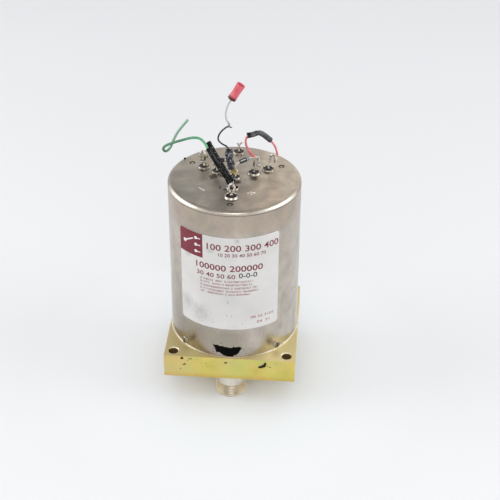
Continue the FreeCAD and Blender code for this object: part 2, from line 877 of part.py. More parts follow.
def bladeBracket(azimuth):
    # Two ears under the board with the hinge pin across them.
    body = newBody("blade_bracket", turn=azimuth)
    ears = newSketch(body, "XZ_Plane")
    halfEar = "earLength / 2"
    earBottom = "eyeCentre - earLength / 2"
    addOutline(ears, [
        (f"hingeRadius - {halfEar}", earBottom),
        (f"hingeRadius + {halfEar}", earBottom),
        (f"hingeRadius + {halfEar}", "boardBottom"),
        (f"hingeRadius - {halfEar}", "boardBottom"),
    ])
    inside = "bladeWidth + 2 * openClearance"
    extrude(body, "Pad", ears, f"{inside} + 2 * earThickness", middle=True)
    gap = newSketch(body, "XZ_Plane")
    addOutline(gap, [
        ("hingeRadius - earLength", f"{earBottom} - holeClearance"),
        ("hingeRadius + earLength", f"{earBottom} - holeClearance"),
        ("hingeRadius + earLength", "boardBottom"),
        ("hingeRadius - earLength", "boardBottom"),
    ])
    extrude(body, "Pocket", gap, inside, middle=True)
    pin = newSketch(body, "XZ_Plane")
    addCircle(pin, "hingeRadius", "eyeCentre", "hingePinRadius")
    extrude(body, "Pad", pin, f"{inside} + 2 * earThickness", middle=True)
    return body


def indicatorContacts(azimuth):
    # A stud over the blade's tip, and a hanging strip whose foot the tip reaches when it drops.
    strip = "contactStripThickness"
    stud = newBody("indicator_stud", turn=azimuth)
    block = newSketch(stud, "XZ_Plane")
    addOutline(block, [
        ("bladeTip", "bladeTop + holeClearance"),
        (f"bladeTip + 3 * {strip}", "bladeTop + holeClearance"),
        (f"bladeTip + 3 * {strip}", "boardBottom"),
        ("bladeTip", "boardBottom"),
    ])
    extrude(stud, "Pad", block, "bladeWidth", middle=True)
    hanger = newBody("indicator_hanger", turn=azimuth)
    profile = newSketch(hanger, "XZ_Plane")
    back = f"bladeTip - 3 * {strip}"
    toe = f"bladeTip + 3 * {strip}"
    addOutline(profile, [
        (back, "boardBottom"),
        (back, f"footTop - {strip}"),
        (toe, f"footTop - {strip}"),
        (toe, "footTop"),
        (f"{back} + {strip}", "footTop"),
        (f"{back} + {strip}", "boardBottom"),
    ])
    extrude(hanger, "Pad", profile, "bladeWidth", middle=True)
    return [stud, hanger]


# ---- can ----

def terminalSpots():
    # Name, radius and azimuth of each solder terminal on the can's top.
    spots = [("centre", "0", 0)]
    for name, azimuth in portAzimuths.items():
        spots.append((f"inner{name}", "innerRing", azimuth))
        spots.append((f"outer{name}", "outerRing", azimuth))
    spots.append(("back", "backRing", 90))
    return spots


def can():
    body = newBody("can")
    shell = revolve(body, [
        ("canInner", "plateTop"),
        ("canRadius + lipWidth", "plateTop"),
        ("canRadius + lipWidth", "plateTop + lipHeight"),
        ("canRadius", "plateTop + lipHeight"),
        ("canRadius", "canTop"),
        ("0", "canTop"),
        ("0", "canCeiling"),
        ("canInner", "canCeiling"),
    ])

    def rim(feature, radius, height):
        return [
            name for name in circularEdges(feature, radius)
            if abs(feature.getSubObject(name).CenterOfMass.z - value(height)) < 1e-4
        ]

    outside = dress(body, "Fillet", shell, rim(shell, "canRadius", "canTop"), "canCorner")
    inside = rim(outside, "canInner", "canCeiling")
    dress(body, "Fillet", outside, inside, "canCorner - canWall")

    holes = newSketch(body, "XY_Plane", "canTop")
    for _, radius, azimuth in terminalSpots():
        addCircle(holes, *polar(radius, azimuth), "barrelRadius + runningClearance")
    extrude(body, "Pocket", holes, "canWall")
    dimples = newSketch(body, "XY_Plane", "canTop")
    for azimuth in portAzimuths.values():
        addCircle(dimples, *polar("dimpleCircle", azimuth), "dimpleRadius")
    extrude(body, "Pocket", dimples, "dimpleDepth")
    sideHoles(body, "canInner - canWall", "3 * canWall", "canScrewRadius + holeClearance")
    keep("can", body)

    screws = []
    for azimuth in canScrewAzimuths:
        screw = slottedScrew(
            "can_screw", "canScrewHeadRadius", "canScrewHeadHeight",
            "canScrewRadius", "canScrewLength - holeClearance",
        )
        spot = (*polar("canRadius + holeClearance / 2", azimuth), "plateTop + canScrewLevel")
        place(screw, spot, FreeCAD.Rotation(up, point(1, azimuth, 0)))
        screws.append(screw)
    together("can_screws", screws)


def label():
    body = newBody("label", turn=value("labelStart"))
    inner = "canRadius + labelGlue"
    sheetStock = revolve(body, [
        (inner, "plateTop + labelBottom"),
        (f"{inner} + labelThickness", "plateTop + labelBottom"),
        (f"{inner} + labelThickness", "plateTop + labelBottom + labelHeight"),
        (inner, "plateTop + labelBottom + labelHeight"),
    ], "labelSweep")
    corners = [
        f"Edge{index}" for index, edge in enumerate(sheetStock.Shape.Edges, start=1)
        if abs(edge.Length - value("labelThickness")) < 1e-4
    ]
    dress(body, "Fillet", sheetStock, corners, "labelCorner")
    keep("label", body)


# ---- terminals ----

def sleeveFrame(tilt, azimuth):
    # Directions along a leaning sleeve and across it.
    lean = math.radians(value(tilt))
    along = point(math.sin(lean), azimuth, math.cos(lean))
    across = point(1, azimuth - 90, 0)
    return along, across


def sleeveStart(radius, azimuth, tilt):
    # Where a leaning sleeve starts on its bent pin.
    lean = math.radians(value(tilt))
    bend = value("pinBend")
    gap = value("sleeveGap")
    shift = bend * (1 - math.cos(lean)) + gap * math.sin(lean)
    rise = bend * math.sin(lean) + gap * math.cos(lean)
    foot = point(value(radius), azimuth, value("canTop + sleevedRise"))
    return foot + point(shift, value("sleeveAzimuth"), rise)


# Hooks open to the right, except these; two outer pins also lean the way they open.
leftwardPins = ("inner2", "outer2")
leaningPins = ("outer2", "outer3")


def hookCorners(name, radius, azimuth):
    side = -1 if name in leftwardPins else 1
    lean = math.radians(value("pinLean")) if name in leaningPins else 0
    rising = Vector(side * math.sin(lean), 0, math.cos(lean))
    across = Vector(side * math.cos(lean), 0, -math.sin(lean))
    knee = point(value(radius), azimuth, value("canTop + pinKnee"))
    rise = value("backPinRise" if name == "back" else "pinRise")
    top = knee + rising * (rise + value("hookRadius - pinKnee"))
    over = top + across * 2 * value("hookRadius")
    return knee, top, over


def terminalPin(name, radius, azimuth):
    wire = value("pinRadius")
    spread = value(radius)
    foot = point(spread, azimuth, value("pinBottom"))
    tilts = {"centre": "centreSleeveTilt", "inner1": "longSleeveTilt"}
    if name in tilts:
        # Bent over, to lie along the sleeve that covers its end.
        along, _ = sleeveFrame(tilts[name], value("sleeveAzimuth"))
        setback = value("pinBend") * math.tan(math.radians(value(tilts[name])) / 2)
        corner = point(spread, azimuth, value("canTop + sleevedRise") + setback)
        end = corner + along * (value("sleevedReach") + setback)
        return bentWire([foot, corner, end], wire, value("pinBend"))
    # A hook on top; a leaning pin bends first, just above its glass.
    knee, top, over = hookCorners(name, radius, azimuth)
    rising = (top - knee).normalize()
    tip = over - rising * value("hookLeg")
    corners = [foot, knee, top, over, tip] if name in leaningPins else [foot, top, over, tip]
    return bentWire(corners, wire, value("hookRadius"))


def terminals():
    eyelets = []
    glasses = []
    pins = []
    for name, radius, azimuth in terminalSpots():
        at = (*polar(radius, azimuth), "0")
        eyelets.append(turned("eyelet", [
            ("glassRadius + seatClearance", "glassBottom"),
            ("barrelRadius", "glassBottom"),
            ("barrelRadius", "canTop"),
            ("eyeletRadius", "canTop"),
            ("eyeletRadius", "canTop + eyeletRise"),
            ("glassRadius + seatClearance", "canTop + eyeletRise"),
        ], at))
        glasses.append(turned("glass", [
            ("pinRadius + seatClearance", "glassBottom"),
            ("glassRadius", "glassBottom"),
            ("glassRadius", "canTop + glassRise"),
            ("pinRadius + seatClearance", "canTop + glassRise"),
        ], at))
        pins.append(terminalPin(name, radius, azimuth))
    together("terminal_eyelets", eyelets)
    together("terminal_glass", glasses)
    shaped("terminal_pins", Part.makeCompound(pins))


# ---- sleeves and diodes on the terminals ----

def cylinder(label, radius, height, at=None):
    piece = document.addObject("Part::Cylinder", label)
    piece.setExpression("Radius", bound(radius))
    piece.setExpression("Height", bound(height))
    if at:
        place(piece, at)
    return piece


def sleevePlacement(radius, azimuth, tilt):
    along, across = sleeveFrame(tilt, value("sleeveAzimuth"))
    rotation = FreeCAD.Rotation(across, along.cross(across), along, "ZXY")
    return FreeCAD.Placement(sleeveStart(radius, azimuth, tilt), rotation)


def sleeveTop(radius, azimuth, tilt, offset, length):
    along, across = sleeveFrame(tilt, value("sleeveAzimuth"))
    return sleeveStart(radius, azimuth, tilt) + across * value(offset) + along * value(length)


def bored(label, blank):
    bore = cylinder("sleeve_bore", "pinRadius + holeClearance", "sleeveBoreDepth")
    cut = document.addObject("Part::Cut", label)
    cut.Base = blank
    cut.Tool = bore
    return keep(label, cut)


def sleeves():
    # Two shrunk sleeves lie side by side on the front terminal and read as one flat piece.
    rear = cylinder("rear_lobe", "lobeRadius", "longSleeveLength", ("lobeOffset", "0", "0"))
    front = cylinder("front_lobe", "lobeRadius", "shortLobeLength", ("-lobeOffset", "0", "0"))
    web = document.addObject("Part::Box", "web")
    web.setExpression("Length", bound("2 * lobeOffset"))
    web.setExpression("Width", bound("2 * lobeRadius"))
    web.setExpression("Height", bound("shortLobeLength"))
    place(web, ("-lobeOffset", "-lobeRadius", "0"))
    blank = document.addObject("Part::MultiFuse", "long_sleeve_blank")
    blank.Shapes = [rear, front, web]
    longSleeve = bored("long_sleeve", blank)
    longSleeve.Placement = sleevePlacement("innerRing", portAzimuths["1"], "longSleeveTilt")

    centre = bored("centre_sleeve", cylinder("centre_blank", "centreSleeveRadius", "centreSleeveLength"))
    centre.Placement = sleevePlacement("0", 0, "centreSleeveTilt")


# Heights above the can: each diode's body and its outer lead's end. Shares: how far out the body
# starts, of the room that it has, and the bends of its inner lead, of the way to the body.
diodeSpots = {
    "1": {"share": 0.49, "level": 2.2, "knee": 0.40, "shoulder": 0.63, "landing": 1.3},
    "2": {"share": 0.77, "level": 7.8, "knee": 0.50, "shoulder": 0.85, "landing": 7.2},
    "3": {"share": 0.58, "level": 8.5, "knee": 0.45, "shoulder": 0.61, "landing": 7.2},
}


def diodes():
    bodies = []
    leads = []
    wire = value("leadRadius")
    root = value("pinRadius + leadRadius + openClearance + holeClearance")
    rootLevel = value("canTop + eyeletRise + leadRadius + openClearance")
    far = value("innerRing - pinRadius - leadRadius - holeClearance")
    for name, azimuth in portAzimuths.items():
        spot = diodeSpots[name]
        level = value("canTop") + spot["level"]
        start = root + spot["share"] * (far - root - value("diodeLength"))
        end = start + value("diodeLength")
        outward = FreeCAD.Rotation(up, point(1, azimuth, 0))
        body = cylinder("diode", "diodeRadius", "diodeLength")
        body.Placement = FreeCAD.Placement(point(start, azimuth, level), outward)
        bodies.append(body)
        inner = [
            point(root, azimuth, rootLevel),
            point(root + spot["knee"] * (start - root), azimuth, rootLevel + wire / 2),
            point(root + spot["shoulder"] * (start - root), azimuth, level),
            point(start, azimuth, level),
        ]
        landing = value("canTop") + spot["landing"]
        outer = [
            point(end, azimuth, level),
            point(end + (far - end) / 3, azimuth, level),
            point(far, azimuth, landing),
        ]
        leads += [bentWire(inner, wire, value("leadBend")), bentWire(outer, wire, value("leadBend"))]
    together("diodes", bodies)
    shaped("diode_leads", Part.makeCompound(leads))


# ---- wires ----

# Jumper between the right-hand pair of terminals, held at both ends.
jumperPoints = [
    (9.3, 5.15, 122.85),
    (7.7, 4.6, 124.9),
    (6.2, 3.9, 128.0),
    (5.2, 3.2, 131.6),
    (6.3, 3.6, 135.0),
    (9.0, 4.5, 136.5),
    (12.0, 5.6, 135.8),
    (14.8, 7.0, 133.2),
    (17.2, 8.3, 129.8),
    (18.9, 9.0, 126.0),
    (19.5, 9.1, 122.15),
]

# From the middle of each hook's top to the jumper's end there.
jumperStartOffset = (-0.52, 0, 0.85)
jumperEndOffset = (1.055, 0, 0.653)

# Loose green wire, from the long sleeve's front lobe to its cut end.
greenPoints = [
    (-11.57, -5.13, 132.1),
    (-13.2, -4.2, 134.45),
    (-16.4, -3.2, 136.4),
    (-20.3, -1.9, 135.7),
    (-25.2, -0.9, 133.5),
    (-30.0, 0.0, 131.3),
    (-33.3, 1.0, 129.3),
    (-35.0, 2.0, 126.8),
    (-33.8, 3.2, 124.5),
    (-31.5, 4.2, 126.2),
    (-30.3, 5.0, 129.4),
    (-28.3, 5.5, 133.9),
    (-25.5, 5.8, 137.6),
    (-22.9, 6.0, 140.9),
]

# Loose thin lead, from the centre sleeve to inside the red sleeve.
leadPoints = [
    (-2.9, 1.67, 127.71),
    (-3.35, 1.93, 129.52),
    (-6.0, 1.6, 130.9),
    (-8.0, 1.2, 133.0),
    (-7.9, 0.9, 135.6),
    (-6.4, 1.0, 138.2),
    (-4.3, 1.3, 140.1),
    (-2.9, 1.7, 140.7),
    (-2.5, 1.9, 141.7),
    (-3.6, 2.0, 142.9),
    (-4.5, 2.0, 145.4),
    (-4.2, 2.0, 148.5),
    (-3.3, 2.0, 151.6),
    (-1.76, 2.0, 154.37),
    (-0.22, 2.0, 156.95),
]


def carried(points, start, end=None):
    # A route as drawn above, moved to begin at start, and stretched to finish at end if that is given.
    drawn = [Vector(*spot) for spot in points]
    startShift = start - drawn[0]
    endShift = end - drawn[-1] if end else startShift
    last = len(drawn) - 1
    return [
        spot + startShift + (endShift - startShift) * (index / last)
        for index, spot in enumerate(drawn)
    ]


def hookApex(name, radius, azimuth):
    _, top, over = hookCorners(name, radius, azimuth)
    return (top + over) / 2


def wires():
    # The jumper's ends lie against the two hooks' tops.
    azimuth = portAzimuths["3"]
    jumperStart = hookApex("inner3", "innerRing", azimuth) + Vector(*jumperStartOffset)
    jumperEnd = hookApex("outer3", "outerRing", azimuth) + Vector(*jumperEndOffset)
    edges, _ = roundedPath(carried(jumperPoints, jumperStart, jumperEnd))
    shaped("jumper_wire", tube(edges, value("jumperRadius")))
    # The sleeve covers the jumper from its fourth bend to its eighth.
    covered = edges[7:16]
    inner = value("jumperRadius + holeClearance")
    outer = tube(covered, inner + value("jumperSleeveWall"))
    shaped("jumper_sleeve", outer.cut(tube(covered, inner)))

    # The loose wires leave the tops of their sleeves.
    outward = "-lobeOffset - greenWireShift"
    lobe = sleeveTop("innerRing", portAzimuths["1"], "longSleeveTilt", outward, "shortLobeLength")
    centre = sleeveTop("0", 0, "centreSleeveTilt", "0", "centreSleeveLength")
    leadRoute = carried(leadPoints, centre)
    for label, route, radius in (
        ("green_wire", carried(greenPoints, lobe), "greenWireRadius"),
        ("lead_wire", leadRoute, "leadWireRadius"),
    ):
        edges, radii = roundedPath(route)
        shaped(label, tube(edges, value(radius)))
        length = sum(edge.Length for edge in edges)
        print(f"{label}: length {length:.1f}, bend radii", [round(bend, 1) for bend in radii])

    # Open sleeve pushed over the lead's far end: the wire meets the floor of its mouth.
    inside = "redSleeveRadius - redSleeveWall"
    red = turned("red_sleeve", [
        ("0", "redSleeveMouth"),
        (inside, "redSleeveMouth"),
        (inside, "0"),
        ("redSleeveRadius", "0"),
        ("redSleeveRadius", "redSleeveLength"),
        (inside, "redSleeveLength"),
        (inside, "redSleeveLength - redSleeveMouth"),
        ("0", "redSleeveLength - redSleeveMouth"),
    ])
    tip = leadRoute[-1]
    direction = (tip - leadRoute[-2]).normalize()
    mouth = tip - direction * value("redSleeveMouth")
    red.Placement = FreeCAD.Placement(mouth, FreeCAD.Rotation(up, direction))
    keep("red_sleeve", red)


def harness():
    # One wire from each terminal's tail down to a land on the indicator board.
    strands = []
    straight = up * value("harnessStraight")
    for name, radius, azimuth in terminalSpots():
        inset = value("backLandInset") if name == "back" else 0
        top = point(value(radius), azimuth, value("pinBottom"))
        land = point(value(radius) - inset, azimuth, value("boardTop"))
        slack = (top + land) / 2 + point(value("harnessSlack"), azimuth + 180, 0)
        corners = [top, top - straight, slack, land + straight, land]
        strands.append(bentWire(corners, value("harnessRadius")))
    shaped("harness_wires", Part.makeCompound(strands))


# ---- assembly ----

baseBlock()
jack("common", ("0", "0", "0"), "commonHeadRadius")
for name, azimuth in portAzimuths.items():
    jack(name, (*polar("portRadius", azimuth), "0"), "portHeadRadius")
cavityCover()
for name, azimuth in portAzimuths.items():
    actuator(name, azimuth)
deck()
solenoids()
indicatorBoard()
can()
label()
terminals()
sleeves()
diodes()
wires()
harness()

document.recompute()
failed = [thing.Label for thing in document.Objects if {"Invalid", "Error"} & set(thing.State)]
assert not failed, f"failed objects: {failed}"
os.makedirs("parts", exist_ok=True)
for name, piece in nodes.items():
    shape = piece.Shape
    assert not shape.isNull() and shape.isValid() and shape.Solids, f"bad shape: {name}"
    shape.exportStep(f"parts/{name}.step")
print(len(nodes), "nodes written")
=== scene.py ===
import bmesh
import bpy
import math
import random
from mathutils import Matrix, Vector, noise


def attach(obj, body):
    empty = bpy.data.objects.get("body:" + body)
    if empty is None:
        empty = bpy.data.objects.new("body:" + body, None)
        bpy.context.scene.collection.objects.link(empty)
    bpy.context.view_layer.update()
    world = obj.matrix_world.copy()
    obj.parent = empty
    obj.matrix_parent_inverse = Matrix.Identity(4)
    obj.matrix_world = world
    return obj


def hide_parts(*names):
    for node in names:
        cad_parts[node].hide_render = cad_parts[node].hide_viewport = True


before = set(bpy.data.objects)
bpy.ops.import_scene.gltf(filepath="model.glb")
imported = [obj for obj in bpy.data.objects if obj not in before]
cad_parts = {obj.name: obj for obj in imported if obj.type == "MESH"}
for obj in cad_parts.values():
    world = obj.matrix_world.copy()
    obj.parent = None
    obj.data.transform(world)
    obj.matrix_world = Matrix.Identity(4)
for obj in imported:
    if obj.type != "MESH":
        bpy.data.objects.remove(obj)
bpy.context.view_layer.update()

mm = 0.001
circle = 2 * math.pi
canTop = 113.9  # mm above the floor
terminals = {  # x and y of each terminal on the can's top, mm
    "centre": (0.0, 0.0),
    "inner1": (0.0, -10.3), "inner2": (-8.92, 5.15), "inner3": (8.92, 5.15),
    "outer1": (0.0, -18.2), "outer2": (-15.76, 9.1), "outer3": (15.76, 9.1),
    "back": (0.0, 25.3),
}


# ---- tools for materials ----

def linear(hexColour):
    parts = [int(hexColour[i:i + 2], 16) / 255 for i in (1, 3, 5)]
    return (*(part / 12.92 if part <= 0.04045 else ((part + 0.055) / 1.055) ** 2.4 for part in parts), 1.0)


def feed(tree, node, inputs):
    # Each input takes a socket to link, a hex colour or a plain value.
    for name, value in inputs.items():
        if isinstance(value, bpy.types.NodeSocket):
            tree.links.new(value, node.inputs[name])
        else:
            node.inputs[name].default_value = linear(value) if isinstance(value, str) else value


def addNode(tree, kind, inputs=None, out=0, stops=(), **settings):
    # Adds a node with its settings and links, and gives back the output that is asked for.
    node = tree.nodes.new("ShaderNode" + kind)
    for name, value in settings.items():
        setattr(node, name, value)
    feed(tree, node, inputs or {})
    if stops:  # a colour ramp's places and colours
        ramp = node.color_ramp
        while len(ramp.elements) < len(stops):
            ramp.elements.new(0.5)
        for element, (place, colour) in zip(ramp.elements, stops):
            element.position = place
            element.color = linear(colour)
    return node.outputs[out]


def newMaterial(name):
    material = bpy.data.materials.new(name)
    material.use_nodes = True
    tree = material.node_tree
    return material, tree, addNode(tree, "TexCoord", out="Object")


def plug(tree, inputs, height=None, depth=0.0):
    # Feeds the shader; a height gives it relief, with its depth in mm.
    if height is not None:
        bump = addNode(tree, "Bump", {"Height": height, "Strength": 1.0, "Distance": depth * mm})
        inputs = {**inputs, "Normal": bump}
    feed(tree, tree.nodes["Principled BSDF"], inputs)


def evenStops(colours):
    return [(0.28 + 0.44 * i / max(1, len(colours) - 1), colour) for i, colour in enumerate(colours)]


def cloud(place, size, detail=3.0, stretch=(1, 1, 1), roughness=0.5):
    # Smooth noise with features of that size in mm.
    tree = place.id_data
    spread = addNode(tree, "Mapping", {0: place, "Scale": stretch})
    return addNode(tree, "TexNoise", {"Vector": spread, "Scale": 1 / (size * mm), "Detail": detail,
                                      "Roughness": roughness})


def fade(*limits):
    # The product of ramps: each takes a value from low to high, and its own share from 0 to 1 or as given.
    tree = limits[0][0].id_data
    product = None
    for value, low, high, *shares in limits:
        start, end = shares or (0.0, 1.0)
        share = addNode(tree, "MapRange", {0: value, 1: low, 2: high, 3: start, 4: end})
        if product is not None:
            share = addNode(tree, "Math", {0: product, 1: share}, operation="MULTIPLY")
        product = share
    return product


def layered(tone, *layers):
    # Lays colours over a tone, each by its share.
    tree = layers[0][0].id_data
    for share, colour in layers:
        tone = addNode(tree, "Mix", {0: share, 6: tone, 7: colour}, 2, data_type="RGBA")
    return tone


def spotMask(place, spots, inner, outer, ragged, ragSize=1.3, share=1.0):
    # The share near any of the spots (x, y, z, radius in mm), with a ragged edge.
    tree = place.id_data
    rag = fade((cloud(place, ragSize), 0.3, 0.7, -ragged, ragged))
    mask = None
    for x, y, z, radius in spots:
        ends = {0: place, 1: (x * mm, y * mm, z * mm)}
        away = addNode(tree, "VectorMath", ends, "Value", operation="DISTANCE")
        away = addNode(tree, "Math", {0: away, 1: radius * mm}, operation="DIVIDE")
        mask = away if mask is None else addNode(tree, "Math", {0: mask, 1: away}, operation="MINIMUM")
    mask = addNode(tree, "Math", {0: mask, 1: rag}, operation="ADD")
    return fade((mask, inner, outer, share, 0.0))


def makeFinish(name, look):
    # A finish whose colour, roughness and relief vary over sizes given in millimetres.
    material, tree, place = newMaterial(name)
    stretch = look.get("stretch", (1, 1, 1))
    mottle = cloud(place, look["mottle"], 4, stretch, 0.6)
    grain = cloud(place, look["grain"], 3, stretch, 0.55)
    sockets = {"metallic": "Metallic", "coat": "Coat Weight", "ior": "IOR"}
    inputs = {sockets[key]: look[key] for key in sockets if key in look}
    inputs["Base Color"] = addNode(tree, "ValToRGB", {0: mottle}, stops=evenStops(look["colours"]))
    inputs["Roughness"] = fade((grain, 0.3, 0.7, *look["roughness"]))
    plug(tree, inputs, grain, look["relief"])
    return material


def retinted(material, share, colour):
    # Lays one more colour over what a finish already shows.
    tree = material.node_tree
    base = tree.nodes["Principled BSDF"].inputs["Base Color"].links[0].from_socket
    plug(tree, {"Base Color": layered(base, (share, colour))})


def scorched(material, spot, near, far, share, colour):
    # Darkens the finish round a spot, given with its two distances in mm.
    tree = material.node_tree
    ends = {0: addNode(tree, "TexCoord", out="Object"), 1: tuple(Vector(spot) * mm)}
    away = addNode(tree, "VectorMath", ends, "Value", operation="DISTANCE")
    retinted(material, fade((away, near * mm, far * mm, share, 0.0)), colour)


def streaked(material, start, end, near, far, share, colour):
    # Tints the finish along a line on its surface, fading out between the two distances; all in mm.
    tree = material.node_tree
    run = (end - start) * mm
    middle, way = tuple((start + end) * 0.5 * mm), tuple(run.normalized())
    place = addNode(tree, "TexCoord", out="Object")
    offset = addNode(tree, "VectorMath", {0: place, 1: middle}, operation="SUBTRACT")
    along = addNode(tree, "VectorMath", {0: offset, 1: way}, "Value", operation="DOT_PRODUCT")
    along = addNode(tree, "Math", {0: along}, operation="ABSOLUTE")
    across = addNode(tree, "VectorMath", {0: offset, 1: way}, operation="CROSS_PRODUCT")
    away = addNode(tree, "VectorMath", {0: across}, "Value", operation="LENGTH")
    within = (along, run.length * 0.35, run.length * 0.5, 1.0, 0.0)
    retinted(material, fade((away, near * mm, far * mm, share, 0.0), within), colour)


def rubbed(material, size, start, colour):
    # Painted glints: pale flecks that stand in for light caught on the wrinkles' ridges; a later start leaves
    # fewer.
    tree = material.node_tree
    fleck = cloud(addNode(tree, "TexCoord", out="Object"), size, 1)
    retinted(material, fade((fleck, start, start + 0.06, 0.0, 0.85)), colour)


# ---- tools for shapes ----

def setMaterial(piece, material):
    piece.data.materials.clear()
    piece.data.materials.append(material)


def placed(name, data):
    item = bpy.data.objects.new(name, data)
    bpy.context.scene.collection.objects.link(item)
    return item


def addPiece(name, shape, material, slot, *replaces):
    # The shape is points and faces, or a mesh or curve that is ready; nothing outside the can moves.
    piece = placed(name, closedMesh(name, *shape) if isinstance(shape, tuple) else shape)
    setMaterial(piece, material)
    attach(piece, "housing")
    if replaces:
        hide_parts(*replaces)
    return piece


def closedMesh(name, verts, faces):
    # Welds the points that meet on an axis, and turns every face outward.
    mesh = bpy.data.meshes.new(name)
    mesh.from_pydata([tuple(vert) for vert in verts], [], faces)
    cleaner = bmesh.new()
    cleaner.from_mesh(mesh)
    bmesh.ops.remove_doubles(cleaner, verts=cleaner.verts, dist=1e-6)
    bmesh.ops.dissolve_degenerate(cleaner, edges=cleaner.edges, dist=1e-7)
    bmesh.ops.recalc_face_normals(cleaner, faces=cleaner.faces)
    for face in cleaner.faces:
        face.smooth = True
    cleaner.to_mesh(mesh)
    cleaner.free()
    mesh.set_sharp_from_angle(angle=math.radians(42))
    return mesh


def softened(points, rounds=3):
    # Rounds a run of points by cutting its corners.
    for _ in range(rounds):
        cut = [points[0]]
        for here, there in zip(points, points[1:]):
            cut += [here.lerp(there, 0.25), here.lerp(there, 0.75)]
        points = cut + [points[-1]]
    return points


def toMetres(points):
    return [Vector(point) * mm for point in points]


def merged(parts):
    verts = []
    faces = []
    for partVerts, partFaces in parts:
        first = len(verts)
        verts += partVerts
        faces += [tuple(first + corner for corner in face) for face in partFaces]
    return verts, faces


def skin(rings, ends="open"):
    # Joins rings of points by four-sided faces; its ends stay open, get caps or join up.
    around = len(rings[0])
    faces = []
    for i in range(len(rings) - (ends != "joined")):
        low, high = i * around, (i + 1) % len(rings) * around
        for k in range(around):
            following = (k + 1) % around
            faces.append((low + k, low + following, high + following, high + k))
    if ends == "capped":
        last = (len(rings) - 1) * around
        faces += [tuple(range(around)), tuple(range(last, last + around))]
    return [vert for ring in rings for vert in ring], faces


def polar(angle, radius=1.0, height=0.0):
    return Vector((radius * math.cos(angle), radius * math.sin(angle), height))


def standAt(origin, right=(1, 0, 0), up=(0, 1, 0), ahead=(0, 0, 1)):
    # Where a shape drawn about its own axis belongs, mm.
    return Matrix.Translation(origin) @ Matrix((right, up, ahead)).transposed().to_4x4()


def turned(profile, stand, around, wobble=None, ends="open"):
    # Turns (radius, height) pairs in mm about the stand's axis; wobble(radius, height, angle) alters them.
    rings = []
    for radius, height in profile:
        ring = []
        for k in range(around):
            angle = circle * k / around
            reach = wobble(radius, height, angle) if wobble else radius
            ring.append(stand @ polar(angle, reach, height) * mm)
        rings.append(ring)
    return skin(rings, ends)


sweepEnds = {  # scale of each ring at a tube's end, and its shift along the tube in mm
    "flat": [(0.82, -0.04)],
    "hollow": [(0.62, 1.6), (0.62, 0.05), (0.93, -0.02)],  # floor, mouth and rim
}


def sweep(points, radiusAt, around=16, ends="flat"):
    # A closed tube round a run of points; radiusAt(share, angle) is its radius in mm.
    last = len(points) - 1
    stations = [(0, scale, shift) for scale, shift in sweepEnds[ends]]
    stations += [(i, 1.0, 0.0) for i in range(len(points))]
    stations += [(last, scale, -shift) for scale, shift in reversed(sweepEnds[ends])]
    rings = []
    across = None
    for i, scale, shift in stations:
        ahead = (points[min(i + 1, last)] - points[max(i - 1, 0)]).normalized()
        if across is None:
            across = ahead.orthogonal().normalized()
        across = (across - ahead * across.dot(ahead)).normalized()
        up = ahead.cross(across)
        ring = []
        for k in range(around):
            angle = circle * k / around
            outward = across * math.cos(angle) + up * math.sin(angle)
            ring.append(points[i] + ahead * shift * mm + outward * radiusAt(i / last, angle) * scale * mm)
        rings.append(ring)
    return skin(rings, "capped")


def hump(x, middle, width):
    return math.exp(-((x - middle) / width) ** 2)


def ripple(place, size, seed=0):
    # Smooth noise from -1 to 1 with features of that size in mm.
    return noise.noise(Vector(place) / (size * mm) + Vector((seed * 7.3, seed * 3.1, seed)))


# ---- camera ----

view = {
    "target": (7.706, 0.551, 71.796), "distance": 594.33,  # mm
    "azimuth": 4.0915, "elevation": 33.4713, "roll": 0.4377,  # degrees
    "lens": 84.92,
}
azimuth, elevation = math.radians(view["azimuth"]), math.radians(view["elevation"])
back = Vector((math.sin(azimuth) * math.cos(elevation),
               -math.cos(azimuth) * math.cos(elevation), math.sin(elevation)))
camera = placed("camera", bpy.data.cameras.new("camera"))
camera.data.lens = view["lens"]
camera.data.sensor_width = 36
camera.data.clip_start, camera.data.clip_end = 0.01, 20
camera.location = (Vector(view["target"]) + back * view["distance"]) * mm
turn = (-back).to_track_quat("-Z", "Y").to_matrix() @ Matrix.Rotation(math.radians(view["roll"]), 3, "Z")
camera.rotation_euler = turn.to_euler()
bpy.context.scene.camera = camera
bpy.context.scene.view_settings.view_transform = "Standard"
print("camera placed")


# ---- loose wires ----

greenWire = {
    "radius": 0.625, "length": 51.1,
    "points": [  # mm
        (-12.4, -4.9, 132.0), (-13.7, -4.1, 134.5), (-16.4, -3.2, 136.4), (-20.3, -1.9, 135.7),
        (-25.2, -0.9, 133.5), (-30.0, 0.0, 131.3), (-33.3, 1.0, 129.3), (-35.0, 2.0, 126.8),
        (-33.8, 3.2, 124.5), (-31.5, 4.2, 126.2), (-30.3, 5.0, 129.4), (-28.3, 5.5, 133.9),
        (-25.5, 5.8, 137.6), (-22.9, 6.0, 140.9),
    ],
    "handled": "#3E6D50", "faded": "#8DB59B",
}
leadWire = {
    "radius": 0.4, "length": 35.2,
    "points": [  # mm
        (-2.9, 1.67, 127.71), (-3.35, 1.93, 129.52), (-6.0, 1.6, 130.9), (-8.0, 1.2, 133.0),
        (-7.9, 0.9, 135.6), (-6.4, 1.0, 138.2), (-4.3, 1.3, 140.1), (-2.9, 1.7, 140.7),
        (-2.5, 1.9, 141.7), (-3.6, 2.0, 142.9), (-4.5, 2.0, 145.4), (-4.2, 2.0, 148.5),
        (-3.3, 2.0, 151.6), (-1.76, 2.0, 154.37), (-0.22, 2.0, 156.95),
    ],
    "tail": [(-3.5, 1.55, 140.35), (-2.7, 1.7, 140.5), (-2.1, 1.75, 140.2), (-1.4, 1.8, 139.85)],
    "greying": [(0.35, "#161618"), (0.62, "#5A5A5C"), (1.0, "#BDBFC1")],
}


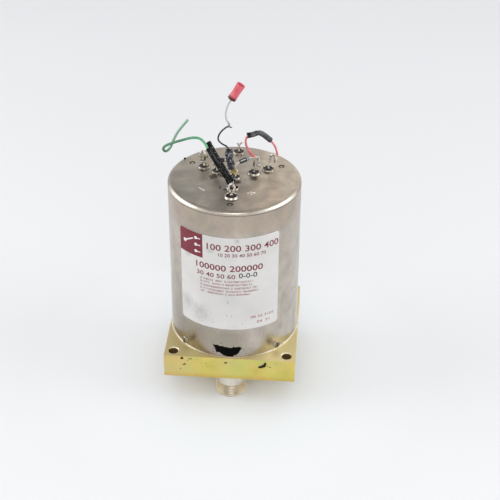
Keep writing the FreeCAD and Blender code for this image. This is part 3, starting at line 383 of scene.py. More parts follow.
def splineWire(name, wire):
    curve = bpy.data.curves.new(name, "CURVE")
    curve.dimensions = "3D"
    spline = curve.splines.new("NURBS")
    spline.points.add(len(wire["points"]) - 1)
    for point, spot in zip(spline.points, wire["points"]):
        point.co = (*(Vector(spot) * mm), 1)
    for point, size in zip(spline.points, wire.get("swelling", [])):
        point.radius = size
    spline.order_u = 3
    spline.use_endpoint_u = True
    curve.resolution_u = 16
    curve.bevel_depth = wire["radius"] * mm
    curve.bevel_resolution = 5
    curve.use_fill_caps = True
    return curve


greenPvc = makeFinish("greenPvcInsulation", {  # extruded PVC: soft sheen over a slightly dusty green
    "colours": ["#4F9A6C", "#5FAE7E", "#7CC096"], "mottle": 3.0, "grain": 0.4,
    "roughness": (0.32, 0.5), "relief": 0.01, "coat": 0.15, "ior": 1.5,
})
# Grime darkens the wire towards its loop, and its free end has faded.
tree = greenPvc.node_tree
x, y = addNode(tree, "SeparateXYZ", {0: addNode(tree, "TexCoord", out="Object")}, slice(2))
retinted(greenPvc, fade((x, -17 * mm, -25 * mm, 0.0, 0.75)), greenWire["handled"])
retinted(greenPvc, fade((y, 2.0 * mm, 4.4 * mm, 0.0, 0.9)), greenWire["faded"])
green = addPiece("green_wire_lead", splineWire("greenWire", greenWire), greenPvc, "green_insulation",
                 "green_wire")

# Thin lead: clean black near the terminal, greyed with dust and solder flux further up.
leadLook, tree, place = newMaterial("thinLeadInsulation")
height = addNode(tree, "SeparateXYZ", {0: place}, "Z")
dust = cloud(place, 0.8)
upper = fade((height, 139 * mm, 144 * mm, -0.15, 0.6))
greying = addNode(tree, "Math", {0: upper, 1: dust}, operation="ADD")
plug(tree, {"Base Color": addNode(tree, "ValToRGB", {0: greying}, stops=leadWire["greying"]),
            "Roughness": fade((dust, 0.3, 0.7, 0.3, 0.55))})

redSleeve = {"length": 8.6, "radius": 2.1, "mouth": 2.5, "bore": 0.68}
leadTip = Vector(leadWire["points"][-1])
redWay = (leadTip - Vector(leadWire["points"][-2])).normalized()
redStart = leadTip - redWay * redSleeve["mouth"]


def redTube():
    # Open at both ends, a little oval and pinched in the middle.
    steps = 30
    length, depth = redSleeve["length"], redSleeve["mouth"] * 0.94
    bore = redSleeve["radius"] * redSleeve["bore"]
    profile = [(0.0, depth), (bore, depth), (bore, 0.25), (bore * 1.12, 0.0)]
    for i in range(steps + 1):
        share = i / steps
        pinch = 0.93 - 0.05 * hump(share, 0.45, 0.25) + 0.04 * hump(share, 1.0, 0.15)
        profile.append((redSleeve["radius"] * pinch, share * length))
    profile += [(bore * 1.12, length), (bore, length - 0.25), (bore, length - depth), (0.0, length - depth)]
    side = redWay.cross(Vector((0, 1, 0))).normalized()

    def oval(radius, along, angle):
        return radius * (1 + 0.05 * math.cos(2 * angle) + 0.012 * math.cos(5 * angle + along))

    return turned(profile, standAt(redStart, side, redWay.cross(side), redWay), 36, oval)


redSleevePvc = makeFinish("redSleevePvc", {  # heat-softened PVC tube: pinkish red, waxy, a bit bruised
    "colours": ["#CE4E5A", "#DA626D", "#E07A80"], "mottle": 4.0, "grain": 0.8,
    "roughness": (0.28, 0.42), "relief": 0.03, "ior": 1.45,
})
# The lower mouth is darkened round its opening.
scorched(redSleevePvc, redStart, 2.0, 2.9, 1.0, "#4A0713")
redPiece = addPiece("red_sleeve_tube", redTube(), redSleevePvc, "red_insulation", "red_sleeve")

lead = addPiece("lead_wire_run", splineWire("leadWire", leadWire), leadLook, "lead_insulation", "lead_wire")


def leadTail():
    # Cut strand of the lower wire, poking out where the two lengths are twisted together.
    def radiusAt(share, angle):
        return 0.42 - 0.2 * share + 0.05 * math.cos(2 * angle + share * 18)

    return sweep(softened(toMetres(leadWire["tail"])), radiusAt, 12)


addPiece("lead_wire_tail", leadTail(), leadLook, "lead_insulation")
print("loose wires laid")


# ---- jumper between the right-hand terminals ----

jumper = {
    "radius": 0.5,
    "points": [  # mm
        (9.3, 5.15, 122.85), (7.5, 4.6, 124.7), (5.8, 3.9, 128.0), (4.8, 3.2, 131.8),
        (5.7, 3.5, 135.1), (9.0, 4.3, 135.9), (11.8, 5.2, 135.9), (14.7, 6.6, 133.3),
        (17.4, 8.1, 129.8), (19.5, 9.0, 126.0), (20.1, 9.15, 122.0),
    ],
    "swelling": [1.5, 1.45, 1.15],  # the insulation is melted fatter where it starts
}
jumperSleeve = {
    "run": [  # mm, a stiff tube with one sharp bend; the wire leaves its left end downwards
        (5.75, 3.35, 135.25), (7.2, 3.75, 135.35), (9.0, 4.3, 135.6), (10.9, 4.85, 136.35),
        (12.6, 5.4, 135.5), (14.6, 6.5, 133.4), (16.7, 7.7, 130.9),
    ],
    "radius": 1.32, "kink": 0.5,
}
redPvc = makeFinish("redPvcInsulation", {  # extruded PVC wire covering: even pinkish red with a dull gloss
    "colours": ["#D0626A", "#DE787D", "#E69496"], "mottle": 2.5, "grain": 0.4,
    "roughness": (0.3, 0.45), "relief": 0.01, "coat": 0.2, "ior": 1.5,
})
greySleeving = makeFinish("greySleeving", {  # old shrink sleeving: dark grey with a rubbed, chalky shine
    "colours": ["#303134", "#494B4E", "#6C6E71"], "mottle": 1.8, "grain": 0.5,
    "roughness": (0.2, 0.4), "relief": 0.03, "ior": 1.42,
})
addPiece("jumper_lead", splineWire("jumper", jumper), redPvc, "red_insulation", "jumper_wire")


def jumperTube():
    def radiusAt(share, angle):
        kink = 1 - 0.14 * hump(share, jumperSleeve["kink"], 0.05) * (0.6 + 0.4 * math.cos(angle))
        crease = 0.05 * math.sin(share * 60) * hump(share, jumperSleeve["kink"], 0.12)
        flare = 0.13 * hump(share, 0.0, 0.07) + 0.025 * math.cos(2 * angle + share * 5)
        return jumperSleeve["radius"] * (kink + crease + flare)

    return sweep(softened(toMetres(jumperSleeve["run"])), radiusAt, 24, "hollow")


scorched(greySleeving, jumperSleeve["run"][0], 1.9, 2.5, 1.0, "#0A0405")
addPiece("jumper_sleeve_tube", jumperTube(), greySleeving, "jumper_sleeve_grey", "jumper_sleeve")
print("jumper made")


# ---- sleeves on the front and centre terminals ----

longSleeve = {  # two shrunk tubes side by side
    "start": (-1.0, -10.07, 116.84), "along": (-0.545, 0.311, 0.779), "across": (0.5, 0.866, 0.0),
    "offset": 0.85, "radius": 1.42, "front": 19.5, "rear": 22.0,
}
centreSleeve = {"start": (-1.7, 0.3, 118.6), "along": (-0.13, 0.14, 0.98), "length": 9.5, "radius": 2.05}
blackSleeving = makeFinish("blackShrinkSleeving", {  # shrunk polyolefin: deep black with fine wrinkles
    "colours": ["#040405", "#070708", "#0D0D0F"], "mottle": 1.5, "grain": 0.35,
    "roughness": (0.12, 0.24), "relief": 0.04, "ior": 1.26,
})
crumpledSleeving = makeFinish("crumpledSleeving", {  # overheated sleeving: slate grey, creased and shiny
    "colours": ["#131318", "#2E2E37", "#5C5C69"], "mottle": 0.9, "grain": 0.3,
    "roughness": (0.08, 0.28), "relief": 0.05, "ior": 1.45,
})
# Painted glints flecked over both sleeves, standing in for light caught on their wrinkles.
rubbed(blackSleeving, 0.42, 0.672, "#B5B1AB")
rubbed(crumpledSleeving, 0.75, 0.64, "#CFCED6")
# A painted highlight runs grey along the seam between the two shrunk tubes, on its upper half.
seam = Vector(longSleeve["start"]) + Vector((-0.25, -0.85, 0.45)) * longSleeve["radius"]
seamWay = Vector(longSleeve["along"]).normalized()
streaked(blackSleeving, seam + seamWay * 9, seam + seamWay * 19, 0.2, 0.6, 0.8, "#6B6C6F")


def longTubes():
    along, across = Vector(longSleeve["along"]).normalized(), Vector(longSleeve["across"]).normalized()
    steps = 44
    parts = []
    for side, length, seed in ((-1, longSleeve["front"], 1), (1, longSleeve["rear"], 2)):
        run = []
        for i in range(steps + 1):
            share = i / steps
            shift = across * (side * longSleeve["offset"] * (1 - 0.1 * hump(share, 0.1, 0.2)))
            bow = across.cross(along) * 0.18 * math.sin(share * 5 + seed)
            run.append((Vector(longSleeve["start"]) + along * (share * length) + shift + bow) * mm)

        def radiusAt(share, angle):
            crease = 0.06 * ripple(Vector((share * 22, math.cos(angle), math.sin(angle))) * mm, 0.9, seed)
            foot = 0.16 * hump(share, 0.0, 0.07) - 0.1 * hump(share, 0.14, 0.06)
            return longSleeve["radius"] * (0.93 + crease + foot + 0.05 * hump(share, 0.97, 0.03))

        parts.append(sweep(run, radiusAt, 26, "hollow"))
    return merged(parts)


def crumpledTube():
    along = Vector(centreSleeve["along"]).normalized()
    steps = 56
    run = []
    for i in range(steps + 1):
        share = i / steps
        sway = Vector((math.sin(share * 7.5), math.cos(share * 6 + 1), 0)) * 0.12
        run.append((Vector(centreSleeve["start"]) + along * share * centreSleeve["length"] + sway) * mm)

    def radiusAt(share, angle):
        spot = Vector((share * 11.6, math.cos(angle) * 1.6, math.sin(angle) * 1.6)) * mm
        dents = 0.2 * ripple(spot, 1.2, 3) + 0.08 * ripple(spot, 0.55, 4)
        pinch = -0.14 * hump(share, 0.55, 0.06) - 0.1 * hump(share, 0.27, 0.05)
        pinch += 0.08 * hump(share, 0.8, 0.08)
        return centreSleeve["radius"] * (0.88 + dents + pinch)

    return sweep(run, radiusAt, 36, "hollow")


addPiece("long_sleeve_tubes", longTubes(), blackSleeving, "black_sleeve", "long_sleeve")
addPiece("centre_sleeve_tube", crumpledTube(), crumpledSleeving, "grey_sleeve", "centre_sleeve")
print("sleeves shrunk on")


# ---- solder terminals ----

hooks = {
    "radius": 0.44, "sleeved": ("centre", "inner1"), "pinDark": "#3A3128",
    "solder": {"inner2": 0.8, "inner3": 0.8, "outer1": 0.2, "outer2": 0.8, "outer3": 0.9},
    "paths": {  # mm; each pin climbs out of its glass, bends over and comes back down
        "inner2": [(-8.92, 5.15, 110.95), (-8.92, 5.15, 115.2), (-8.92, 5.15, 120.4), (-9.3, 5.15, 122.2),
                   (-10.6, 5.15, 122.3), (-10.9, 5.15, 120.6), (-10.6, 5.15, 118.2), (-9.8, 5.15, 117.1)],
        "inner3": [(8.92, 5.15, 110.95), (8.92, 5.15, 115.2), (9.0, 5.15, 120.6), (9.3, 5.15, 122.6),
                   (10.8, 5.15, 123.1), (11.35, 5.15, 121.4), (11.2, 5.15, 119.3), (10.4, 5.15, 117.1),
                   (9.8, 5.1, 115.9)],
        "outer1": [(0, -18.2, 110.95), (0, -18.2, 115.2), (-0.8, -18.2, 117.2), (-1.4, -18.2, 119.2),
                   (0.1, -18.2, 121.1), (1.7, -18.2, 119.6), (1.5, -18.2, 118.0), (0.7, -18.2, 116.4)],
        "outer2": [(-15.76, 9.1, 110.95), (-15.76, 9.1, 115.2), (-15.4, 9.1, 117.9), (-15.2, 9.1, 120.6),
                   (-15.7, 9.1, 122.2), (-17.0, 9.1, 122.4), (-17.6, 9.1, 120.6), (-17.2, 9.1, 118.2),
                   (-16.5, 9.1, 116.8)],
        "outer3": [(15.76, 9.1, 110.95), (15.8, 9.1, 115.0), (16.3, 9.1, 117.2), (16.6, 9.1, 120.6),
                   (17.0, 9.1, 122.3), (18.4, 9.1, 122.6), (19.2, 9.1, 121.2), (19.0, 9.1, 118.2)],
        "back": [(0, 25.3, 110.95), (0, 25.3, 115.2), (0.05, 25.3, 117.6), (0.5, 25.3, 118.7),
                 (1.5, 25.3, 119.4)],
    },
    "fork": [(0.05, 25.3, 117.4), (-0.2, 25.3, 118.3), (-0.95, 25.3, 119.3)],  # the back pin's other arm
}
solder = makeFinish("tinLeadSolder", {  # hand-soldered tin-lead: bright, lumpy, with flux in its hollows; its mottle also paints white glints and dark shade
    "colours": ["#33281D", "#857A6B", "#D8D2C7", "#F6F3ED", "#FFFFFF"], "mottle": 0.9, "grain": 0.25,
    "roughness": (0.12, 0.3), "relief": 0.06, "metallic": 0.4,
})
for name in ("inner2", "inner3", "outer2"):  # the pin is darker between its foot and the solder on its bend
    scorched(solder, (*terminals[name], 119.0), 1.0, 1.9, 0.8, hooks["pinDark"])


def hookRun(name):
    if name not in hooks["sleeved"]:
        return toMetres(hooks["paths"][name])
    sleeve = longSleeve if name == "inner1" else centreSleeve
    along, start = Vector(sleeve["along"]).normalized(), Vector(sleeve["start"])
    foot = [(*terminals[name], canTop + rise) for rise in (-2.9, 1.2, 2.1)]
    return toMetres(foot + [start + along * reach for reach in (0.2, 1.5, 3.4)])


def pinMesh(points, seed, solderCoat):
    run = softened(points)

    def radiusAt(share, angle):
        here = run[round(share * (len(run) - 1))]
        lump = ripple(here + polar(angle, 0.4) * mm, 0.9, seed)
        wetted = max(0.0, min(1.0, (share - 0.22) / 0.15))
        coat = solderCoat * wetted * (0.6 + 1.0 * lump)
        fillet = 0.55 * hump(here.z / mm - canTop, 0.75, 0.45)
        return hooks["radius"] * (1.0 + max(-0.05, coat) + fillet)

    return sweep(run, radiusAt, 14)


pins = [pinMesh(hookRun(name), seed, hooks["solder"].get(name, 0.0)) for seed, name in enumerate(terminals)]
pins.append(pinMesh(toMetres(hooks["fork"]), 9, 0.0))
addPiece("soldered_pins", merged(pins), solder, "pin_tin", "terminal_pins")


def lumpMesh(seed, spot, radius, squash=(1, 1, 1)):
    # A frozen drop: a small ball pushed in and out by smooth noise.
    drop = bmesh.new()
    bmesh.ops.create_icosphere(drop, subdivisions=3, radius=1)
    verts = []
    for vert in drop.verts:
        bump = 0.38 * ripple(vert.co * mm, 0.9, seed) + 0.16 * ripple(vert.co * mm, 0.4, seed + 5)
        verts.append((Vector(spot) + vert.co * (radius * (1 + bump)) * Vector(squash)) * mm)
    faces = [tuple(vert.index for vert in face.verts) for face in drop.faces]
    drop.free()
    return verts, faces


solderDrops = [  # place and radius, mm
    ((11.35, 5.1, 118.7), 0.75), ((10.1, 5.1, 116.3), 0.6), ((9.2, 5.1, 115.4), 0.55),
    ((10.9, 5.1, 122.3), 0.6), ((16.35, 9.0, 117.2), 0.6), ((18.9, 9.0, 119.2), 0.55),
    ((17.0, 9.0, 121.8), 0.5), ((19.4, 9.1, 121.7), 0.6), ((-17.3, 9.0, 121.6), 0.6),
    ((-16.7, 9.0, 117.0), 0.65), ((-14.9, 9.0, 120.8), 0.5), ((-15.8, 9.0, 115.4), 0.55),
    ((-1.3, -18.2, 118.4), 0.36), ((1.6, -18.2, 118.2), 0.36), ((0.3, -18.2, 115.2), 0.5),
    ((-9.6, 5.1, 117.2), 0.6), ((-10.6, 5.1, 119.2), 0.6), ((-1.1, 0.0, 118.7), 0.6),
    ((1.2, -0.3, 117.6), 0.6), ((0.3, -0.6, 115.6), 0.7),
]
resinDrops = [  # place, radius and squash
    ((-0.2, -0.5, 117.1), 1.45, (1, 0.8, 0.9)), ((0.8, -0.3, 116.4), 0.95, (1, 1, 0.9)),
    ((0.5, -0.2, 118.0), 0.9), ((-1.3, -0.3, 117.8), 0.7), ((-13.9, 7.0, 121.0), 0.5, (0.8, 0.8, 2.2)),
    ((-13.7, 7.0, 116.4), 0.6, (1, 1, 1.6)), ((-17.2, 8.7, 118.3), 0.5), ((11.9, 4.9, 117.8), 0.45),
]
fluxResin = makeFinish("fluxResin", {  # burnt rosin: straw yellow going brown, glassy
    "colours": ["#241A0A", "#AD9658", "#F4ECCB"], "mottle": 0.8, "grain": 0.3,
    "roughness": (0.08, 0.25), "relief": 0.03, "ior": 1.45,
})
for name, shapes, look, seed in (("solder", solderDrops, solder, 0), ("flux", resinDrops, fluxResin, 30)):
    drops = [lumpMesh(seed + i, *shape) for i, shape in enumerate(shapes)]
    addPiece(name + "_drops", merged(drops), look, "pin_tin")

eyelets = {
    "radius": 3.2, "rise": 0.9, "bore": 2.47, "glass": 0.6, "barrel": 2.0, "barrelRadius": 2.78,
    "skirts": {"outer1": 0.35, "inner3": 0.25, "outer2": 0.1},  # solder crept out round the foot
}
tinnedRing = makeFinish("tinnedEyelet", {  # hot-tinned steel ring: soft bright rim, browned by flux
    "colours": ["#857A6E", "#B9B0A5", "#D8D1C8"], "mottle": 1.6, "grain": 0.4,
    "roughness": (0.16, 0.36), "relief": 0.03, "metallic": 0.9,
})
sealGlass = makeFinish("sealGlass", {  # fused glass: brown-black, with a gloss and a few pits
    "colours": ["#1A1411", "#2B221E", "#40352F"], "mottle": 1.0, "grain": 0.5,
    "roughness": (0.12, 0.3), "relief": 0.03, "ior": 1.33,
})


def onTerminal(name, profile, around, wobble=None):
    # Turns a closed profile of (radius, height above the can) round a terminal.
    profile = [(radius, canTop + height) for radius, height in profile]
    return turned(profile, standAt((*terminals[name], 0)), around, wobble, "joined")


def ringMesh(name, seed):
    # Rolled eyelet rim with a little solder crept over it.
    radius, bore, rise, foot = (eyelets[key] for key in ("radius", "bore", "rise", "barrel"))
    barrelRadius = eyelets["barrelRadius"]
    skirt = eyelets["skirts"].get(name, 0.0)
    profile = [(bore, -foot), (barrelRadius, -foot), (barrelRadius, 0), (radius + skirt, 0),
               (radius + 0.85 * skirt, 0.12), (radius, rise * 0.55), (radius - 0.12, rise * 0.85),
               (radius - 0.3, rise), (bore + 0.28, rise), (bore + 0.08, rise * 0.86), (bore, rise * 0.6)]

    def wobble(radius, height, angle):
        if height < canTop + 0.2:
            return radius
        return radius + 0.035 * ripple(polar(angle, 3, height) * mm, 1.6, seed)

    return onTerminal(name, profile, 56, wobble)


def glassMesh(name):
    # Glass with a rim climbing the ring and the pin.
    foot, level = -eyelets["barrel"], eyelets["glass"]
    rim = eyelets["bore"] - 0.02
    profile = [(0.5, foot), (rim, foot), (rim, level), (rim - 0.25, level - 0.12), (rim - 0.8, level - 0.2),
               (1.1, level - 0.16), (0.75, level - 0.02), (0.5, level + 0.22)]
    return onTerminal(name, profile, 32)


rings = [ringMesh(name, i) for i, name in enumerate(terminals)]
beads = [glassMesh(name) for name in terminals]
addPiece("eyelet_rings", merged(rings), tinnedRing, "eyelet_tin", "terminal_eyelets")
addPiece("glass_beads", merged(beads), sealGlass, "seal_glass", "terminal_glass")
print("terminals soldered")


# ---- diodes across the centre and inner terminals ----

diodeLook = {"radius": 1.1, "corner": 0.32, "band": (0.78, 0.9), "bandRise": 0.015, "wire": 0.36}
diodeRuns = [  # both ends of each body, then where its leads are soldered, mm
    ((0.0, -3.0, 116.1), (0.0, -7.3, 116.1), (0.1, -0.6, 115.7), (0.0, -9.6, 115.3)),
    ((-5.2, 2.95, 121.6), (-9.5, 4.85, 120.6), (-1.3, 0.6, 118.8), (-8.9, 5.0, 119.6)),
    ((2.3, 1.4, 121.75), (6.3, 3.8, 122.6), (-0.8, 0.0, 118.7), (9.4, 4.9, 122.6)),
]
diodeGlaze = makeFinish("mouldedEpoxy", {  # moulded black epoxy: glossy, with faint mould grain
    "colours": ["#08080A", "#0F0F11", "#19191C"], "mottle": 1.4, "grain": 0.25,
    "roughness": (0.08, 0.16), "relief": 0.01, "coat": 0.6, "ior": 1.6,
})
# A painted highlight runs along the third diode, on its upper front.
inboard, outboard = (Vector(end) for end in diodeRuns[2][:2])
upperFront = Vector((0.06, -0.8, 0.6)) * diodeLook["radius"]
streaked(diodeGlaze, inboard.lerp(outboard, 0.1) + upperFront, inboard.lerp(outboard, 0.76) + upperFront,
         0.14, 0.34, 0.9, "#D3DADA")
bandInk = makeFinish("diodeBandInk", {  # printed cathode band: worn silver-grey ink
    "colours": ["#7A8788", "#9FACAC", "#C4CDCB"], "mottle": 0.5, "grain": 0.2,
    "roughness": (0.3, 0.5), "relief": 0.02,
})
tinnedLead = makeFinish("tinnedLead", {  # tinned copper lead: painted bright white as a highlight
    "colours": ["#DAD5C8", "#F0ECE2", "#FFFDF8"], "mottle": 0.8, "grain": 0.2,
    "roughness": (0.14, 0.3), "relief": 0.01, "metallic": 0.45,
})


def diodeMesh(start, end, span, radius, corner):
    start, end = Vector(start), Vector(end)
    ahead = (end - start).normalized()
    side = ahead.cross(Vector((0, 0, 1))).normalized()
    low, high = (share * (end - start).length for share in span)
    profile = [(radius - corner, low), (radius - 0.3 * corner, low + 0.3 * corner), (radius, low + corner),
               (radius, high - corner), (radius - 0.3 * corner, high - 0.3 * corner), (radius - corner, high)]
    return turned(profile, standAt(start, side, side.cross(ahead), ahead), 32, ends="capped")


def diodeLeads(start, end, inner, outer, seed):
    # Both leads, thickened with solder where they land.
    start, end, inner, outer = (Vector(spot) for spot in (start, end, inner, outer))
    away = (end - start).normalized()

    def radiusAt(share, angle):
        lump = ripple(Vector((share * 4, math.cos(angle), math.sin(angle))) * mm, 0.8, seed)
        return diodeLook["wire"] * (1 + max(0.0, share - 0.5) * (1.1 + 0.8 * lump))

    made = []
    for body, landing, out in ((start, inner, -away), (end, outer, away)):
        reach = min(1.2, 0.35 * (landing - body).length)
        run = softened(toMetres([body, body + out * reach, landing.lerp(body, 0.25), landing]))
        made.append(sweep(run, radiusAt, 12))
    return merged(made)


radius = diodeLook["radius"]
bodies = [diodeMesh(*run[:2], (0, 1), radius, diodeLook["corner"]) for run in diodeRuns]
bands = [diodeMesh(*run[:2], diodeLook["band"], radius + diodeLook["bandRise"], 0.01) for run in diodeRuns]
leads = [diodeLeads(*run, seed) for seed, run in enumerate(diodeRuns)]
addPiece("diode_bodies", merged(bodies), diodeGlaze, "diode_body", "diodes")
addPiece("diode_bands", merged(bands), bandInk, "diode_body")
addPiece("diode_wires", merged(leads), tinnedLead, "pin_tin", "diode_leads")
print("diodes made")


# ---- threaded jacks ----

jackShape = {  # type N, 5/8-24 thread
    "radius": 7.9375, "pitch": 1.0583, "depth": 0.6, "threadStart": 0.9, "threadEnd": 7.3,
    "reliefStart": 15.0, "seatStart": 15.8, "seatRadius": 6.8, "top": 24.2, "socket": 4.05, "mouth": 5.4,
    "mouthDepth": 0.8, "beadBottom": 10.5, "beadBore": 5.02, "chamfer": 0.5, "ringRadius": 21.6,
    "tones": ["#D3CBBD", "#E0DACF", "#EDE8DF"], "brassy": "#DFD2B8", "recessDark": "#9C8A70",
}

# Nickel-silver plate over brass: creamy and worn bright on the plain part, darker in the thread's roots.
jackPlating, tree, place = newMaterial("wornNickelOverBrass")
height = addNode(tree, "SeparateXYZ", {0: place}, "Z")
flat = addNode(tree, "VectorMath", {0: place, 1: (1, 1, 0)}, operation="MULTIPLY")
span = addNode(tree, "VectorMath", {0: flat}, "Value", operation="LENGTH")
tone = layered(
    addNode(tree, "ValToRGB", {0: cloud(place, 5)}, stops=evenStops(jackShape["tones"])),
    (fade((height, 7.2 * mm, 8.4 * mm, 0.6, 0.0)), jackShape["brassy"]),
    (fade((span, 7.4 * mm, 7.85 * mm, 0.55, 0.0)), jackShape["recessDark"]))
rough = fade((cloud(place, 1.2), 0.3, 0.7, 0.26, 0.36))
plug(tree, {"Base Color": tone, "Roughness": rough, "Metallic": 1})


def jackMesh():
    # The thread's rows climb with the helix, so that its crest stays one clean edge.
    shape = jackShape
    around, rows = 96, 10
    radius, pitch, depth = shape["radius"], shape["pitch"], shape["depth"]
    low, high = shape["chamfer"], shape["threadEnd"] + 0.6
    count = math.ceil((high - low + pitch) / pitch * rows) + 2
    before = [(shape["mouth"] + 0.1, 0.0), (radius - low, 0.0), (radius - low + 0.15, 0.15)]
    after = [(radius, 8.6), (radius, 11.0), (radius, 14.0), (radius, shape["reliefStart"]),
             (radius - depth, shape["reliefStart"]), (radius - depth, shape["seatStart"]),
             (shape["seatRadius"], shape["seatStart"]), (shape["seatRadius"], shape["top"]),
             (shape["beadBore"], shape["top"]), (shape["beadBore"], shape["beadBottom"]),
             (shape["socket"], shape["beadBottom"]), (shape["socket"], shape["mouthDepth"] + 0.1),
             (shape["mouth"], 0.06)]

    def threaded(row, turnShare):
        height = min(high, max(low, low + pitch * (row / rows - 1 + turnShare)))
        wave = 1 - abs(2 * (row / rows % 1.0) - 1)  # 0 on the crest, 1 at the root
        groove = min(1.0, max(0.0, (wave - 0.14) / 0.72))
        runIn, runOut = (height - shape["threadStart"]) / 0.7, (shape["threadEnd"] + 0.3 - height) / 0.6
        return radius - depth * groove * min(1.0, max(0.0, runIn), max(0.0, runOut)), height

    verts = []
    for row in range(-len(before), count + len(after)):
        for k in range(around):
            if row < 0:
                out, height = before[row]
            elif row < count:
                out, height = threaded(row, k / around)
            else:
                out, height = after[row - count]
            angle = circle * k / around
            verts.append(polar(angle, out, height) * mm)
    total = len(verts) // around
    first, last = len(before), len(before) + count
    faces = []
    for i in range(total):
        above = (i + 1) % total
        for k in range(around):
            following = (k + 1) % around
            near, far = i, above
            if following == 0 and first <= i and first < above < last:  # the helix moves up a turn here
                near, far = min(i + rows, last - 1), min(above + rows, last - 1)
            faces.append((i * around + k, near * around + following,
                          far * around + following, above * around + k))
    return verts, faces


jackShell = closedMesh("jackShell", *jackMesh())
for name, bearing in (("common", None), ("1", -90), ("2", 150), ("3", 30)):
    jack = addPiece("threaded_jack_" + name, jackShell, jackPlating, "nickel_plate", "jack_shell_" + name)
    if bearing is not None:
        jack.location = polar(math.radians(bearing), jackShape["ringRadius"]) * mm
print("jacks threaded")


# ---- printing on the label and marks on the can ----

surfaces = {  # slot and radius of each face that takes ink; the can's top is flat
    "label": ("label_film", 32.672), "side": ("can_nickel", 32.49), "top": ("can_nickel", None),
}
labelArc = math.radians(surfaces["label"][1])  # mm of arc length per degree
canArc = math.radians(surfaces["side"][1])


def ink(name, colours):  # screen-printed ink: matt and a little uneven
    return makeFinish(name, {"colours": colours, "mottle": 1.6, "grain": 0.3,
                             "roughness": (0.4, 0.6), "relief": 0.004})


maroonInk = ink("maroonInk", ["#6B1D2B", "#771E2F", "#86293A"])
paleInk = ink("rubbedMaroonInk", ["#8E5560", "#A0707A", "#BC9299"])
greyInk = ink("greyInk", ["#8D9094", "#777A80", "#A5A7AA"])
blackInk = ink("stampInk", ["#26282C", "#34373B", "#4A4C50"])
whiteInk = ink("whiteInk", ["#DADADB", "#E4E3E3", "#ECEBEA"])
markInk = ink("markingInk", ["#241A13", "#32261D", "#4C3F34"])
chalk = ink("chalkyResidue", ["#DAD5CB", "#EEEAE2", "#FFFFFF"])
tar = makeFinish("driedTar", {  # dried tar: black, dull, broken at the edge
    "colours": ["#050403", "#080706", "#100E0C"], "mottle": 1.2, "grain": 0.3,
    "roughness": (0.5, 0.7), "relief": 0.03, "ior": 1.12,
})
labelPrint = {
    "facet": 0.5, "motifRise": 0.022, "motifStep": 0.0015,  # mm
    "block": (-27.15, 86.4, -13.06, 99.62), "blockCorner": 1.8,  # left, bottom, right and top; its rounding
    "text": {  # numerals, left and right in degrees, then middle, height and boldness in mm
        "label_title": (maroonInk, [("100 200 300 400", -19, 44.5, 93.9, 3.5, 0.06),
                                    ("10 20 30 40 50 60 70", -9, 32, 89.95, 1.9, 0.03),
                                    ("100000 200000", -29.4, 29.4, 82.4, 3.4, 0.07)]),
        "label_model": (maroonInk, [("30 40 50 60", -28.9, 5.5, 77.8, 2.5, 0.035)]),
        "label_stamp": (blackInk, [("0-0-0", 8.4, 24.3, 78.4, 2.9, 0.05)]),
    },
    "lines": [  # left, right and height of each line of small print
        (-25.5, 20.8, 74.8), (-25.6, 19.6, 72.95), (-25.7, 24.6, 71.0), (-25.7, 25.3, 69.1),
        (-25.1, 18.4, 67.3), (18.5, 40.3, 53.1), (24.3, 36.7, 49.8),
    ],
    "specks": [(-0.9, 63.0), (-0.7, 62.3), (2.1, 54.5), (-14.4, 49.5), (11.4, 49.4), (-1.8, 54.6)],
}
canMarks = {
    # x, y and half width of each handwritten numeral
    "numerals": [("1", -6.1, -10.1, 0.35), ("2", -10.9, -1.6, 0.95), ("3", 9.8, -1.3, 0.95)],
    "scratches": [  # mm on the can's top
        [(-16.34, -10.96), (-14.54, -12.5), (-13.16, -13.78)], [(7.3, -14.6), (8.1, -14.1)],
        [(8.5, -13.5), (9.3, -13.2)], [(9.7, -14.1), (10.4, -13.6), (11.1, -13.8)],
        [(8.9, -15.5), (9.6, -15.2)],
    ],
    "tar": [  # degrees from the front and height
        (-14.5, 35.77), (-9.5, 35.6), (-5.4, 35.16), (-1.0, 34.86), (2.6, 34.78), (3.8, 35.62), (6.1, 34.99),
        (8.3, 35.58), (11.2, 34.64), (9.6, 32.69), (8.1, 31.15), (6.1, 30.23), (3.7, 29.91), (2.8, 28.8),
        (-0.1, 29.0), (-4.6, 29.7), (-6.8, 30.66), (-8.6, 31.44), (-11.4, 31.12), (-12.7, 32.86),
    ],
    "flakes": [(-14.3, 35.0), (-14.5, 33.1), (-14.2, 31.0), (14.9, 30.66), (-7.0, 37.0), (12.9, 33.3)],
    "crumb": ((-26.2, 16.5, 114.0), 0.52),
}


def disc2d(x, y, radius, around=20):
    return [(x + radius * math.cos(circle * k / around), y + radius * math.sin(circle * k / around))
            for k in range(around)]


def bar2d(start, end, width):
    along = Vector((end[0] - start[0], end[1] - start[1])).normalized() * width / 2
    return [(x - side * along.y, y + side * along.x)
            for (x, y), side in ((start, -1), (end, -1), (end, 1), (start, 1))]


def digits2d(text, left, right, middle, height, bold=0.0):
    # Numerals laid from left to right, as flat faces.
    curve = bpy.data.curves.new("digits", "FONT")
    curve.body = text
    curve.size = height / 0.73
    curve.offset = bold
    curve.resolution_u = 3
    holder = bpy.data.objects.new("digits", curve)
    mesh = bpy.data.meshes.new_from_object(holder)
    verts = [vert.co.copy() for vert in mesh.vertices]
    faces = [tuple(polygon.vertices) for polygon in mesh.polygons]
    bpy.data.objects.remove(holder)
    bpy.data.curves.remove(curve)
    bpy.data.meshes.remove(mesh)
    xs, ys = [vert.x for vert in verts], [vert.y for vert in verts]
    stretch = (right - left) / (max(xs) - min(xs))
    centre = (min(ys) + max(ys)) / 2
    return [(left + (x - min(xs)) * stretch, middle + y - centre) for x, y in zip(xs, ys)], faces


